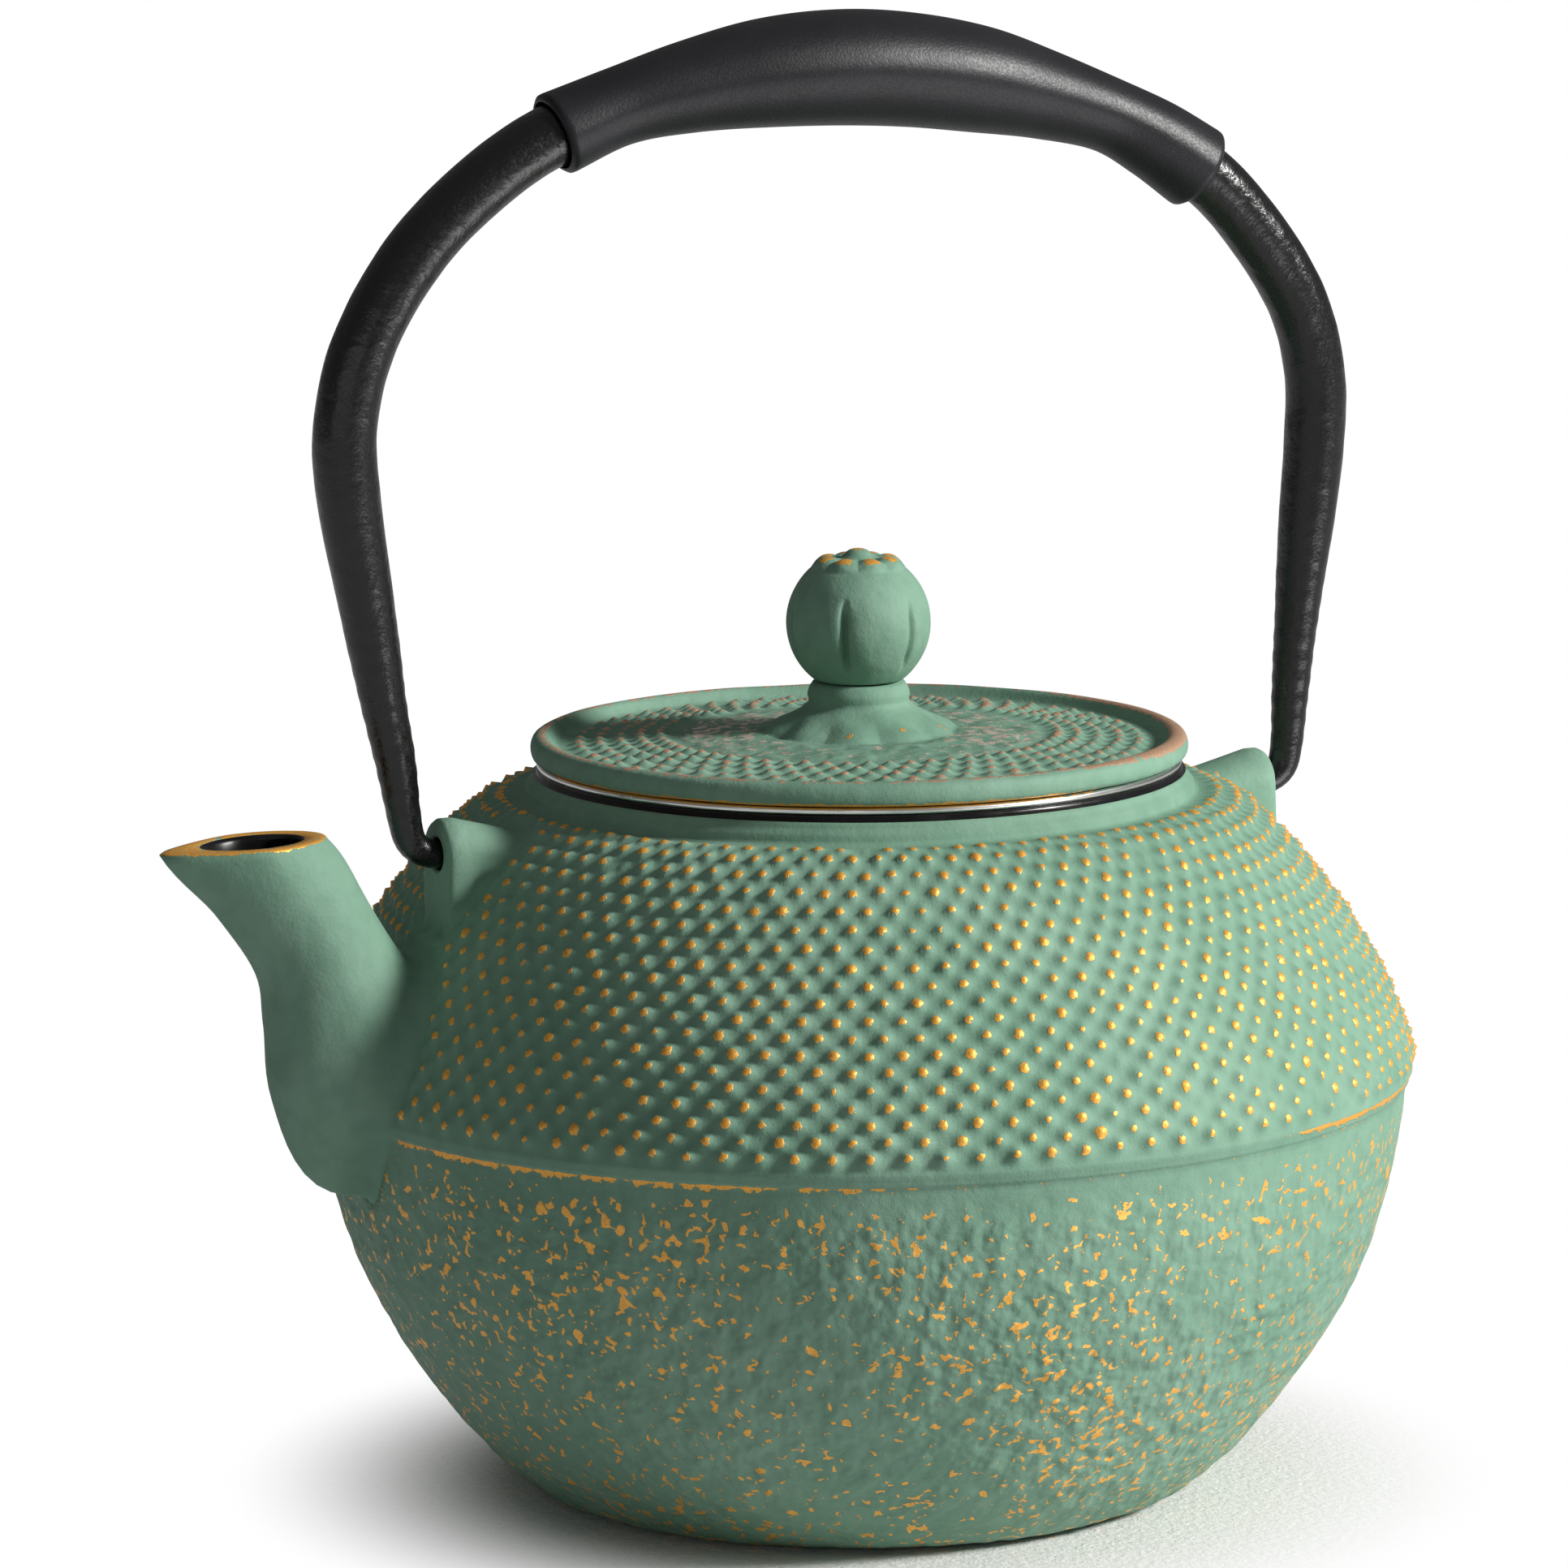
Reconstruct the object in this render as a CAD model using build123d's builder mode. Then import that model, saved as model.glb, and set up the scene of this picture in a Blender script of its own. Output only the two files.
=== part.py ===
"""Cast iron teapot with hobnail body, lift-off lid, strainer basket and hinged bail handle.

Millimetres. Origin at the centre of the base on the table, +Z up, spout towards -X,
the handle hinges about an axis parallel to X through the two lugs.
"""
import os

from build123d import *

os.makedirs("parts", exist_ok=True)

# ---------------------------------------------------------------- driving dimensions
BASE_R = 44.0              # flat base
BELLY_R = 79.3             # widest radius of the upper half, between the hobnails
SEAM_LOW_Z = 58.3          # lower edge of the parting ledge
SEAM_TOP_Z = 60.0          # upper edge of the parting ledge
SEAM_LOW_R = 78.0          # lower half just under the ledge
COLLAR_FOOT_R = 50.4
COLLAR_FOOT_Z = 100.7
COLLAR_TOP_R = 46.8
COLLAR_TOP_Z = 103.4
MOUTH_R = 41.5             # clear mouth of the pot
MOUTH_TOP_Z = 104.4        # enamelled lip that carries the strainer

HINGE_X = 66.3             # outer face of each lug
HINGE_Z = 96.6             # height of the handle hinge axis
LUG_HALF_WIDTH = 5.0
LUG_HOLE_R = 2.4
LUG_HOLE_DEPTH = 7.6

SHEET = 0.4                # strainer flange sheet
FLANGE_TOP_Z = MOUTH_TOP_Z + SHEET
FLANGE_R = 46.0
WALL_R = 38.6              # outer radius of the strainer wall
WALL_T = 0.5
STRAINER_BOTTOM_Z = 49.5

LID_R = 47.1
LID_EDGE_Z = 105.7         # lower corner of the lid's band
LID_RIM_TOP_Z = 109.05
BOSS_R = 7.3
BOSS_TOP_Z = 116.3
LID_HOLE_R = 1.8
SHANK_R = 1.5
WASHER_TOP_Z = 104.95
KNOB_R = 10.35
KNOB_MID_Z = 124.8

TUBE_R = 4.45              # handle rod where it is fullest
HOOK_R = 2.0               # handle rod inside the lug

# ---------------------------------------------------------------- lug blank (used twice)
with BuildPart() as lug:
    with BuildSketch(Plane.XZ) as lug_side:
        with BuildLine():
            Polyline((46, 84), (62, 84), (HINGE_X, 88.0), (HINGE_X, 98.6))
            ThreePointArc((HINGE_X, 98.6), (65.4, 100.8), (63.2, 101.6))
            Polyline((63.2, 101.6), (54.5, 99.4), (46, 96.5), (46, 84))
        make_face()
    extrude(amount=LUG_HALF_WIDTH, both=True)
    with BuildSketch(Plane.YZ.offset(40)) as lug_end:
        with Locations((0, 90)):
            Rectangle(2 * LUG_HALF_WIDTH, 13.2)
        with Locations((0, HINGE_Z)):
            Circle(LUG_HALF_WIDTH)
    extrude(amount=40, mode=Mode.INTERSECT)

# ---------------------------------------------------------------- pot body
# spout sections, root to mouth: centre x, centre z, direction the section faces, half sizes
SPOUT_OUTER = (
    ((-66.0, 62.0), (-1.0, 0.05), 15.0, 11.0),
    ((-75.0, 65.2), (-0.853, 0.52), 17.3, 11.0),
    ((-80.0, 71.8), (-0.59, 0.81), 14.0, 10.2),
    ((-82.7, 79.4), (-0.47, 0.88), 10.9, 9.2),
    ((-86.3, 88.3), (-0.52, 0.85), 9.4, 8.3),
    ((-94.6, 100.4), (0.0, 1.0), 11.3, 7.9),
)
SPOUT_BORE = (
    ((-64.0, 62.8), (-1.0, 0.05), 10.4, 7.4),
    ((-74.0, 66.2), (-0.853, 0.52), 11.0, 7.2),
    ((-79.0, 72.3), (-0.59, 0.81), 9.3, 6.8),
    ((-82.4, 79.6), (-0.47, 0.88), 7.8, 6.4),
    ((-86.1, 88.4), (-0.52, 0.85), 6.9, 5.8),
    ((-93.9, 100.5), (0.0, 1.0), 8.6, 5.6),
)


def section_plane(centre, facing):
    return Plane(
        origin=(centre[0], 0, centre[1]),
        x_dir=(0, 1, 0),
        z_dir=(facing[0], 0, facing[1]),
    )


with BuildPart() as pot_body:
    with BuildSketch(Plane.XZ):
        with BuildLine():
            Line((0, 0), (BASE_R, 0))
            Spline(
                (BASE_R, 0), (53.8, 5.9), (63.1, 16.9), (71.8, 31.5), (76.5, 46.0),
                (SEAM_LOW_R, SEAM_LOW_Z),
                tangents=((1, 0.25), (0.03, 1)),
            )
            Line((SEAM_LOW_R, SEAM_LOW_Z), (BELLY_R, SEAM_TOP_Z))
            Spline(
                (BELLY_R, SEAM_TOP_Z), (76.8, 69.5), (72.5, 78.2), (66.6, 86.7),
                (60.8, 93.1), (COLLAR_FOOT_R, COLLAR_FOOT_Z),
                tangents=((-0.02, 1), (-1, 0.22)),
            )
            ThreePointArc(
                (COLLAR_FOOT_R, COLLAR_FOOT_Z), (47.9, 101.7), (COLLAR_TOP_R, COLLAR_TOP_Z)
            )
            Polyline(
                (COLLAR_TOP_R, COLLAR_TOP_Z), (46.3, COLLAR_TOP_Z), (46.3, MOUTH_TOP_Z),
                (0, MOUTH_TOP_Z), (0, 0),
            )
        make_face()
    revolve(axis=Axis.Z)
    # spout blank
    for centre, facing, half_rise, half_width in SPOUT_OUTER:
        with BuildSketch(section_plane(centre, facing)):
            Ellipse(half_width, half_rise)
    loft()
    add(lug.part)
    add(mirror(lug.part, about=Plane.YZ))
    # tea space
    with BuildSketch(Plane.XZ):
        with BuildLine():
            Line((0, 4.5), (40, 4.5))
            Spline(
                (40, 4.5), (51.0, 9.6), (59.8, 19.6), (68.0, 33.2), (72.4, 46.6),
                (74.0, 59.4), (72.4, 69.0), (68.4, 77.2), (62.9, 85.0), (55.8, 92.2),
                (49.0, 96.8), (MOUTH_R, 99.6),
                tangents=((1, 0.25), (-1, 0.3)),
            )
            Polyline((MOUTH_R, 99.6), (MOUTH_R, 110), (0, 110), (0, 4.5))
        make_face()
    revolve(axis=Axis.Z, mode=Mode.SUBTRACT)
    # spout bore
    for centre, facing, half_rise, half_width in SPOUT_BORE:
        with BuildSketch(section_plane(centre, facing)):
            Ellipse(half_width, half_rise)
    loft(mode=Mode.SUBTRACT)
    # blind hinge holes in the lugs
    for side in (-1, 1):
        with Locations(Plane((side * (HINGE_X + 1), 0, HINGE_Z), z_dir=(-side, 0, 0))):
            Cylinder(
                LUG_HOLE_R, LUG_HOLE_DEPTH + 1,
                align=(Align.CENTER, Align.CENTER, Align.MIN), mode=Mode.SUBTRACT,
            )
pot_body.part.label = "pot_body"

# ---------------------------------------------------------------- lid
with BuildPart() as lid:
    with BuildSketch(Plane.XZ):
        with BuildLine():
            Line((LID_HOLE_R, 105.1), (8.0, 105.1))
            Line((8.0, 105.1), (35.2, 104.3))
            Polyline(
                (35.2, 104.3), (35.2, 100.6), (37.6, 100.6), (37.6, FLANGE_TOP_Z),
                (44.0, FLANGE_TOP_Z), (44.6, LID_EDGE_Z), (LID_R - 0.5, LID_EDGE_Z),
            )
            Spline(
                (LID_R - 0.5, LID_EDGE_Z), (LID_R, 107.3), (LID_R - 0.8, 108.8),
                (LID_R - 1.7, LID_RIM_TOP_Z),
                tangents=((0.6, 1), (-1, 0)),
            )
            Spline(
                (LID_R - 1.7, LID_RIM_TOP_Z), (LID_R - 3.0, 108.6), (LID_R - 4.0, 107.7),
                tangents=((-1, 0), (-1, -0.3)),
            )
            Spline(
                (LID_R - 4.0, 107.7), (28.0, 108.7), (13.4, 109.3),
                tangents=((-1, 0.06), (-1, 0.02)),
            )
            Spline(
                (13.4, 109.3), (9.6, 110.4), (7.6, 113.0), (BOSS_R, BOSS_TOP_Z - 0.6),
                tangents=((-1, 0.1), (0, 1)),
            )
            Polyline(
                (BOSS_R, BOSS_TOP_Z - 0.6), (BOSS_R - 0.6, BOSS_TOP_Z),
                (LID_HOLE_R, BOSS_TOP_Z), (LID_HOLE_R, 105.1),
            )
        make_face()
    revolve(axis=Axis.Z)
lid.part.label = "lid"

# ---------------------------------------------------------------- lid knob
with BuildPart() as lid_knob:
    with BuildSketch(Plane.XZ):
        with BuildLine():
            Polyline(
                (SHANK_R, BOSS_TOP_Z), (4.5, BOSS_TOP_Z), (4.5, BOSS_TOP_Z + 0.5),
                (6.0, BOSS_TOP_Z + 0.5),
            )
            Spline(
                (6.0, BOSS_TOP_Z + 0.5), (9.25, 120.1), (KNOB_R, KNOB_MID_Z), (9.2, 129.6),
                (7.1, 132.6),
                tangents=((1, 0.6), (-1, 1)),
            )
            Polyline((7.1, 132.6), (6.1, 133.0), (6.1, 134.2), (2.0, 134.6))
            ThreePointArc((2.0, 134.6), (1.2, 135.0), (0, 135.1))
            Polyline((0, 135.1), (0, 124.0), (SHANK_R, 124.0), (SHANK_R, BOSS_TOP_Z))
        make_face()
    revolve(axis=Axis.Z)
    # six upright creases, two from each ring
    for turn in (0, 60, 120):
        with Locations(Plane((0, 0, KNOB_MID_Z), z_dir=(0, 1, 0)).rotated((0, 0, turn - 11.7))):
            Torus(10.9, 0.9, mode=Mode.SUBTRACT)
lid_knob.part.label = "lid_knob"

# ---------------------------------------------------------------- knob rivet
with BuildPart() as knob_rivet:
    with BuildSketch(Plane.XZ):
        with BuildLine():
            Line((0, 102.6), (1.6, 102.6))
            ThreePointArc((1.6, 102.6), (2.7, 103.0), (3.1, 104.15))
            Polyline((3.1, 104.15), (SHANK_R, 104.15), (SHANK_R, 124.0), (0, 124.0), (0, 102.6))
        make_face()
    revolve(axis=Axis.Z)
knob_rivet.part.label = "knob_rivet"

# ---------------------------------------------------------------- knob washer
with BuildPart() as knob_washer:
    with BuildSketch(Plane.XY.offset(104.15)):
        Circle(4.6)
        Circle(SHANK_R, mode=Mode.SUBTRACT)
    extrude(amount=WASHER_TOP_Z - 104.15)
knob_washer.part.label = "knob_washer"

# ---------------------------------------------------------------- strainer rim
with BuildPart() as strainer_rim:
    with BuildSketch(Plane.XZ):
        with BuildLine():
            Polyline(
                (WALL_R, 93.0), (WALL_R + 0.5, 93.0), (WALL_R + 0.5, 103.4),
            )
            ThreePointArc(
                (WALL_R + 0.5, 103.4), (WALL_R + 0.8, 104.1), (WALL_R + 1.5, MOUTH_TOP_Z)
            )
            Line((WALL_R + 1.5, MOUTH_TOP_Z), (FLANGE_R, MOUTH_TOP_Z))
            ThreePointArc(
                (FLANGE_R, MOUTH_TOP_Z), (FLANGE_R + 0.2, MOUTH_TOP_Z + 0.2),
                (FLANGE_R, FLANGE_TOP_Z),
            )
            Line((FLANGE_R, FLANGE_TOP_Z), (WALL_R + 1.4, FLANGE_TOP_Z))
            ThreePointArc(
                (WALL_R + 1.4, FLANGE_TOP_Z), (WALL_R + 0.4, FLANGE_TOP_Z - 0.4),
                (WALL_R, 103.4),
            )
            Line((WALL_R, 103.4), (WALL_R, 93.0))
        make_face()
    revolve(axis=Axis.Z)
strainer_rim.part.label = "strainer_rim"

# ---------------------------------------------------------------- strainer wall
with BuildPart() as strainer_wall:
    with BuildSketch(Plane.XY.offset(STRAINER_BOTTOM_Z)):
        Circle(WALL_R)
        Circle(WALL_R - WALL_T, mode=Mode.SUBTRACT)
    extrude(amount=97.5 - STRAINER_BOTTOM_Z)
strainer_wall.part.label = "strainer_wall"

# ---------------------------------------------------------------- strainer foot band
with BuildPart() as strainer_foot:
    with BuildSketch(Plane.XY.offset(STRAINER_BOTTOM_Z)):
        Circle(WALL_R + 0.5)
        Circle(WALL_R, mode=Mode.SUBTRACT)
    extrude(amount=5.0)
strainer_foot.part.label = "strainer_foot"

# ---------------------------------------------------------------- strainer base
with BuildPart() as strainer_base:
    with BuildSketch(Plane.XY.offset(STRAINER_BOTTOM_Z)):
        Circle(WALL_R - WALL_T)
    extrude(amount=WALL_T)
strainer_base.part.label = "strainer_base"

# ---------------------------------------------------------------- bail handle
# centre line in the handle plane: x, z, rod radius
BAIL = (
    (-60.5, 96.6, HOOK_R), (-64.0, 96.6, HOOK_R), (-67.2, 96.7, HOOK_R),
    (-70.0, 98.6, 2.2), (-71.1, 102.8, 2.4),
    (-72.2, 110.0, 2.8), (-74.2, 120.4, 3.3), (-76.5, 134.2, 4.0), (-78.7, 148.0, TUBE_R),
    (-78.9, 158.1, TUBE_R), (-76.2, 168.1, TUBE_R), (-70.4, 177.9, TUBE_R),
    (-61.4, 187.2, TUBE_R), (-47.0, 196.3, TUBE_R), (-26.0, 202.4, TUBE_R),
    (-2.0, 204.0, TUBE_R), (20.0, 201.9, TUBE_R), (40.4, 195.6, TUBE_R),
    (55.4, 187.1, TUBE_R), (64.5, 178.2, TUBE_R), (71.9, 167.2, TUBE_R),
    (74.9, 156.3, TUBE_R), (74.8, 145.5, TUBE_R), (73.4, 133.0, 4.0), (71.9, 119.6, 3.2),
    (70.9, 108.5, 2.7), (70.5, 102.6, 2.4), (69.6, 98.5, 2.2), (67.2, 96.7, HOOK_R),
    (64.0, 96.6, HOOK_R), (60.5, 96.6, HOOK_R),
)


def rod_sections(points):
    """Planes square to a run of centre-line points, with the radius wanted at each."""
    planes = []
    for k, (x, z, r) in enumerate(points):
        before = points[max(k - 1, 0)]
        after = points[min(k + 1, len(points) - 1)]
        along = Vector(after[0] - before[0], 0, after[1] - before[1]).normalized()
        planes.append((Plane((x, 0, z), x_dir=(0, 1, 0), z_dir=along), r))
    return planes


with BuildPart() as handle_bail:
    for plane, radius in rod_sections(BAIL):
        with BuildSketch(plane):
            Circle(radius)
    loft()
handle_bail.part.label = "handle_bail"

# ---------------------------------------------------------------- grip sleeve
# stations along the same centre line: x, z, outer radius, bore radius
GRIP = (
    (-47.0, 196.3, 5.9, 5.1),
    (-36.8, 199.9, 5.7, 4.9),
    (-26.0, 202.4, 6.3, 5.3),
    (-14.0, 203.8, 7.6, 6.6),
    (-2.0, 204.0, 8.2, 7.2),
    (9.0, 203.3, 8.0, 7.0),
    (20.0, 201.9, 7.0, 6.0),
    (30.4, 199.3, 5.9, 4.9),
    (40.4, 195.6, 5.5, 4.6),
    (48.2, 191.7, 5.9, 5.0),
    (55.4, 187.1, 6.3, 5.4),
)

with BuildPart() as handle_grip:
    for plane, radius in rod_sections([(x, z, ro) for x, z, ro, ri in GRIP]):
        with BuildSketch(plane):
            Circle(radius)
    loft()
    for plane, radius in rod_sections([(x, z, ri) for x, z, ro, ri in GRIP]):
        with BuildSketch(plane):
            Circle(radius)
    loft(mode=Mode.SUBTRACT)
handle_grip.part.label = "handle_grip"

# ---------------------------------------------------------------- export
for name, built in (
    ("pot_body", pot_body), ("lid", lid), ("lid_knob", lid_knob), ("knob_rivet", knob_rivet),
    ("knob_washer", knob_washer), ("strainer_rim", strainer_rim),
    ("strainer_wall", strainer_wall), ("strainer_foot", strainer_foot),
    ("strainer_base", strainer_base), ("handle_bail", handle_bail),
    ("handle_grip", handle_grip),
):
    export_step(built.part, f"parts/{name}.step")
    box = built.part.bounding_box()
    print(f"{name:15s} {built.part.volume / 1000:8.2f} cm3  {box.min} {box.max}")
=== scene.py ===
"""Cast iron teapot: detailed visual built over the CAD frame. Lengths here are millimetres
until mesh_piece() turns them into metres."""

import math

import bpy
import numpy as np
from mathutils import Matrix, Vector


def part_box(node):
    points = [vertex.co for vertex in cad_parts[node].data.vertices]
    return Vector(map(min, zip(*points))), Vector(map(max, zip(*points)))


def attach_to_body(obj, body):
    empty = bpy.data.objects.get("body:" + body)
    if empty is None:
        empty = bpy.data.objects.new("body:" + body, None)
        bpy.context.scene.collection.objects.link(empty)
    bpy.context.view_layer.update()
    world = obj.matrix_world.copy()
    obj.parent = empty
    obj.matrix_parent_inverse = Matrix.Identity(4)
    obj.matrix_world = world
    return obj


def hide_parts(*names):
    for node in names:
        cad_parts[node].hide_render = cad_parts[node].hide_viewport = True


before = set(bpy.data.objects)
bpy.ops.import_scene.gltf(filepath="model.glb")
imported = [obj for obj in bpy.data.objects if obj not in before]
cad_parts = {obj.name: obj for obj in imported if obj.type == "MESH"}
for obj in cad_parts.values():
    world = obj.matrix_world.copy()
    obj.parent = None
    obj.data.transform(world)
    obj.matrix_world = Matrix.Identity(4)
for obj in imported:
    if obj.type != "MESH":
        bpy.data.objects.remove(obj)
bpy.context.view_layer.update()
scene = bpy.context.scene
MM = 0.001

lid_lo, lid_hi = (np.array(v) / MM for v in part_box("lid"))
knob_lo, knob_hi = (np.array(v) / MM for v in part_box("lid_knob"))
MOUTH_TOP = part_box("pot_body")[1][2] / MM  # top of the enamelled lip
HINGE_Z = MOUTH_TOP - 7.8  # height of the handle's hinge axis
FLOOR_Z = 4.5  # thickness of the pot's floor
TURN = math.radians(26.6)  # the viewer stands this far round from the pot's side
DOT_PHASE = 0.0465 - TURN  # where the first hobnail column stands
DOTS = 100  # hobnails in a row
COLS = 8 * DOTS
PAINTED, ENAMELLED = 0, 1  # material slots of the castings


# --- small numeric tools
def circle(count):
    """Angles all round, evenly spaced."""
    return np.arange(count) * 2 * math.pi / count


def unit(v):
    return v / np.linalg.norm(v, axis=-1, keepdims=True)


def arc_length(line):
    """Length along a run up to each of its points."""
    return np.concatenate([[0], np.cumsum(np.linalg.norm(np.diff(line[:, :2], axis=0), axis=1))])


def catmull(points, count):
    """A smooth line through the points, evenly sampled by arc length."""
    p = np.asarray(points, float)
    p = np.vstack([2 * p[0] - p[1], p, 2 * p[-1] - p[-2]])
    out = []
    for a, b, c, d in zip(p[:-3], p[1:-2], p[2:-1], p[3:]):
        t = np.linspace(0, 1, 24, endpoint=False)[:, None]
        out.append(0.5 * (2 * b + (c - a) * t + (2 * a - 5 * b + 4 * c - d) * t**2
                          + (3 * b - 3 * c + d - a) * t**3))
    line = np.vstack(out + [p[-2][None]])
    run = arc_length(line)
    want = np.linspace(0, run[-1], count)
    return np.stack([np.interp(want, run, line[:, k]) for k in range(line.shape[1])], 1)


def smooth(lo, hi, x):
    """0 at lo, 1 at hi, eased between."""
    t = np.clip((x - lo) / (hi - lo), 0, 1)
    return t * t * (3 - 2 * t)


PSI = DOT_PHASE + circle(COLS)
_table = np.random.default_rng(7).random((64, 64, 64)).astype(np.float32)


def noise(p, size, shift=0.0):
    """Value noise in about -1..1, with features about `size` mm across."""
    q = p / size + 100.0 + shift
    i = np.floor(q).astype(int)
    f = q - i
    f = f * f * (3 - 2 * f)
    total = 0.0
    for corner in np.ndindex(2, 2, 2):
        cell = (i + corner) & 63
        total = total + (_table[cell[..., 0], cell[..., 1], cell[..., 2]]
                         * np.where(corner, f, 1 - f).prod(-1))
    return 2 * total - 1


def on_body(psi, r, z):
    """Points at angle psi round the pot; 0 faces -Y."""
    return np.stack([r * np.sin(psi), -r * np.cos(psi), z], -1)


def lathe(line, psi):
    """An outline turned round Z: grids of radius, height, angle, place and unit normal."""
    rings, cols = len(line), len(psi)
    r = np.repeat(line[:, 0][:, None], cols, 1)
    z = np.repeat(line[:, 1][:, None], cols, 1)
    ps = np.broadcast_to(psi, (rings, cols))
    d = np.gradient(line, axis=0)
    n = unit(np.stack([d[:, 1], -d[:, 0]], 1))
    out, rise = (np.repeat(n[:, k][:, None], cols, 1) for k in (0, 1))
    return r, z, ps, on_body(ps, r, z), on_body(ps, out, rise)


def seen_from(psi):
    """Degrees round the pot from the side that faces the viewer, -180 to 180."""
    return np.degrees((psi + TURN + math.pi) % (2 * math.pi) - math.pi)


class Shell:
    """Collects vertices, faces and per-vertex values for one piece."""

    def __init__(self, names):
        self.names = names
        self.co, self.val, self.quads, self.qmat = [], [], [], []
        self.tris, self.tmat, self.count = [np.zeros((0, 3), int)], [], 0

    def add(self, co, **values):
        co = np.asarray(co, float).reshape(-1, 3)
        row = np.zeros((len(co), len(self.names)))
        for name, v in values.items():
            row[:, self.names.index(name)] = np.asarray(v).reshape(-1) if np.ndim(v) else v
        self.co.append(co)
        self.val.append(row)
        start = self.count
        self.count += len(co)
        return np.arange(start, self.count)

    def quad(self, q, mat=0):
        q = np.asarray(q).reshape(-1, 4)
        self.quads.append(q)
        self.qmat.append(np.full(len(q), mat))

    def tri(self, t, mat=0):
        self.tris.append(t)
        self.tmat.append(np.full(len(t), mat))

    def band(self, a, b, mat=0):
        """Quads between two closed rings of equal length."""
        self.quad(np.stack([a, np.roll(a, -1), np.roll(b, -1), b], 1), mat)

    def bands(self, rings, mat=0, flip=False):
        """Bands along a run of rings."""
        for a, b in zip(rings[:-1], rings[1:]):
            self.band(*((b, a) if flip else (a, b)), mat)

    def fan(self, ring, middle, mat=0, flip=False, **values):
        """Triangles from a ring to a point in the middle of it."""
        point = self.add([middle], **values)[0]
        t = np.stack([ring, np.roll(ring, -1), np.full(len(ring), point)], 1)
        self.tri(t[:, ::-1] if flip else t, mat)

    def zipper(self, a, b, mat=0, flip=False):
        """Triangles between two closed loops of different lengths, walked the same way."""
        co = np.vstack(self.co)
        k = int(np.argmin(np.linalg.norm(co[b] - co[a[0]], axis=1)))
        b = np.roll(b, -k)
        pa, pb = co[a], co[b]
        i = j = 0
        out = []
        while i < len(a) or j < len(b):
            i0, j0, i1, j1 = i % len(a), j % len(b), (i + 1) % len(a), (j + 1) % len(b)
            step_a = i < len(a) and (j >= len(b) or np.sum((pa[i1] - pb[j0])**2)
                                     <= np.sum((pa[i0] - pb[j1])**2))
            if step_a:
                out.append((a[i0], a[i1], b[j0]))
                i += 1
            else:
                out.append((a[i0], b[j1], b[j0]))
                j += 1
        out = np.array(out)
        self.tri(out[:, ::-1] if flip else out, mat)


def mesh_piece(name, shell, materials, body, slot, *nodes, crease=None):
    """Turn a shell into an object on a body, in place of the CAD nodes named."""
    co, val = np.vstack(shell.co) * MM, np.vstack(shell.val)
    quads, tris = np.vstack(shell.quads), np.vstack(shell.tris)
    used = np.zeros(len(co), bool)
    used[quads.ravel()] = True
    used[tris.ravel()] = True
    index = np.cumsum(used) - 1
    co, val, quads, tris = co[used], val[used], index[quads], index[tris]
    me = bpy.data.meshes.new(name)
    me.vertices.add(len(co))
    me.vertices.foreach_set("co", co.astype(np.float32).ravel())
    me.loops.add(quads.size + tris.size)
    corners = np.concatenate([quads.ravel(), tris.ravel()])
    me.loops.foreach_set("vertex_index", corners.astype(np.int32))
    me.polygons.add(len(quads) + len(tris))
    start = np.concatenate([np.arange(len(quads)) * 4, quads.size + np.arange(len(tris)) * 3])
    me.polygons.foreach_set("loop_start", start.astype(np.int32))
    mats = np.concatenate(shell.qmat + shell.tmat).astype(np.int32)
    for m in materials:
        me.materials.append(m)
    me.update(calc_edges=True)
    me.polygons.foreach_set("material_index", mats)
    me.polygons.foreach_set("use_smooth", np.ones(len(mats), bool))
    for k, attr in enumerate(shell.names):
        a = me.attributes.new(attr, "FLOAT", "POINT")
        a.data.foreach_set("value", val[:, k].astype(np.float32))
    me.validate()
    me.update()
    if crease:
        me.set_sharp_from_angle(angle=math.radians(crease))
    piece = bpy.data.objects.new(name, me)
    scene.collection.objects.link(piece)
    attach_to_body(piece, body)
    if nodes:
        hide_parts(*nodes)


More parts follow.
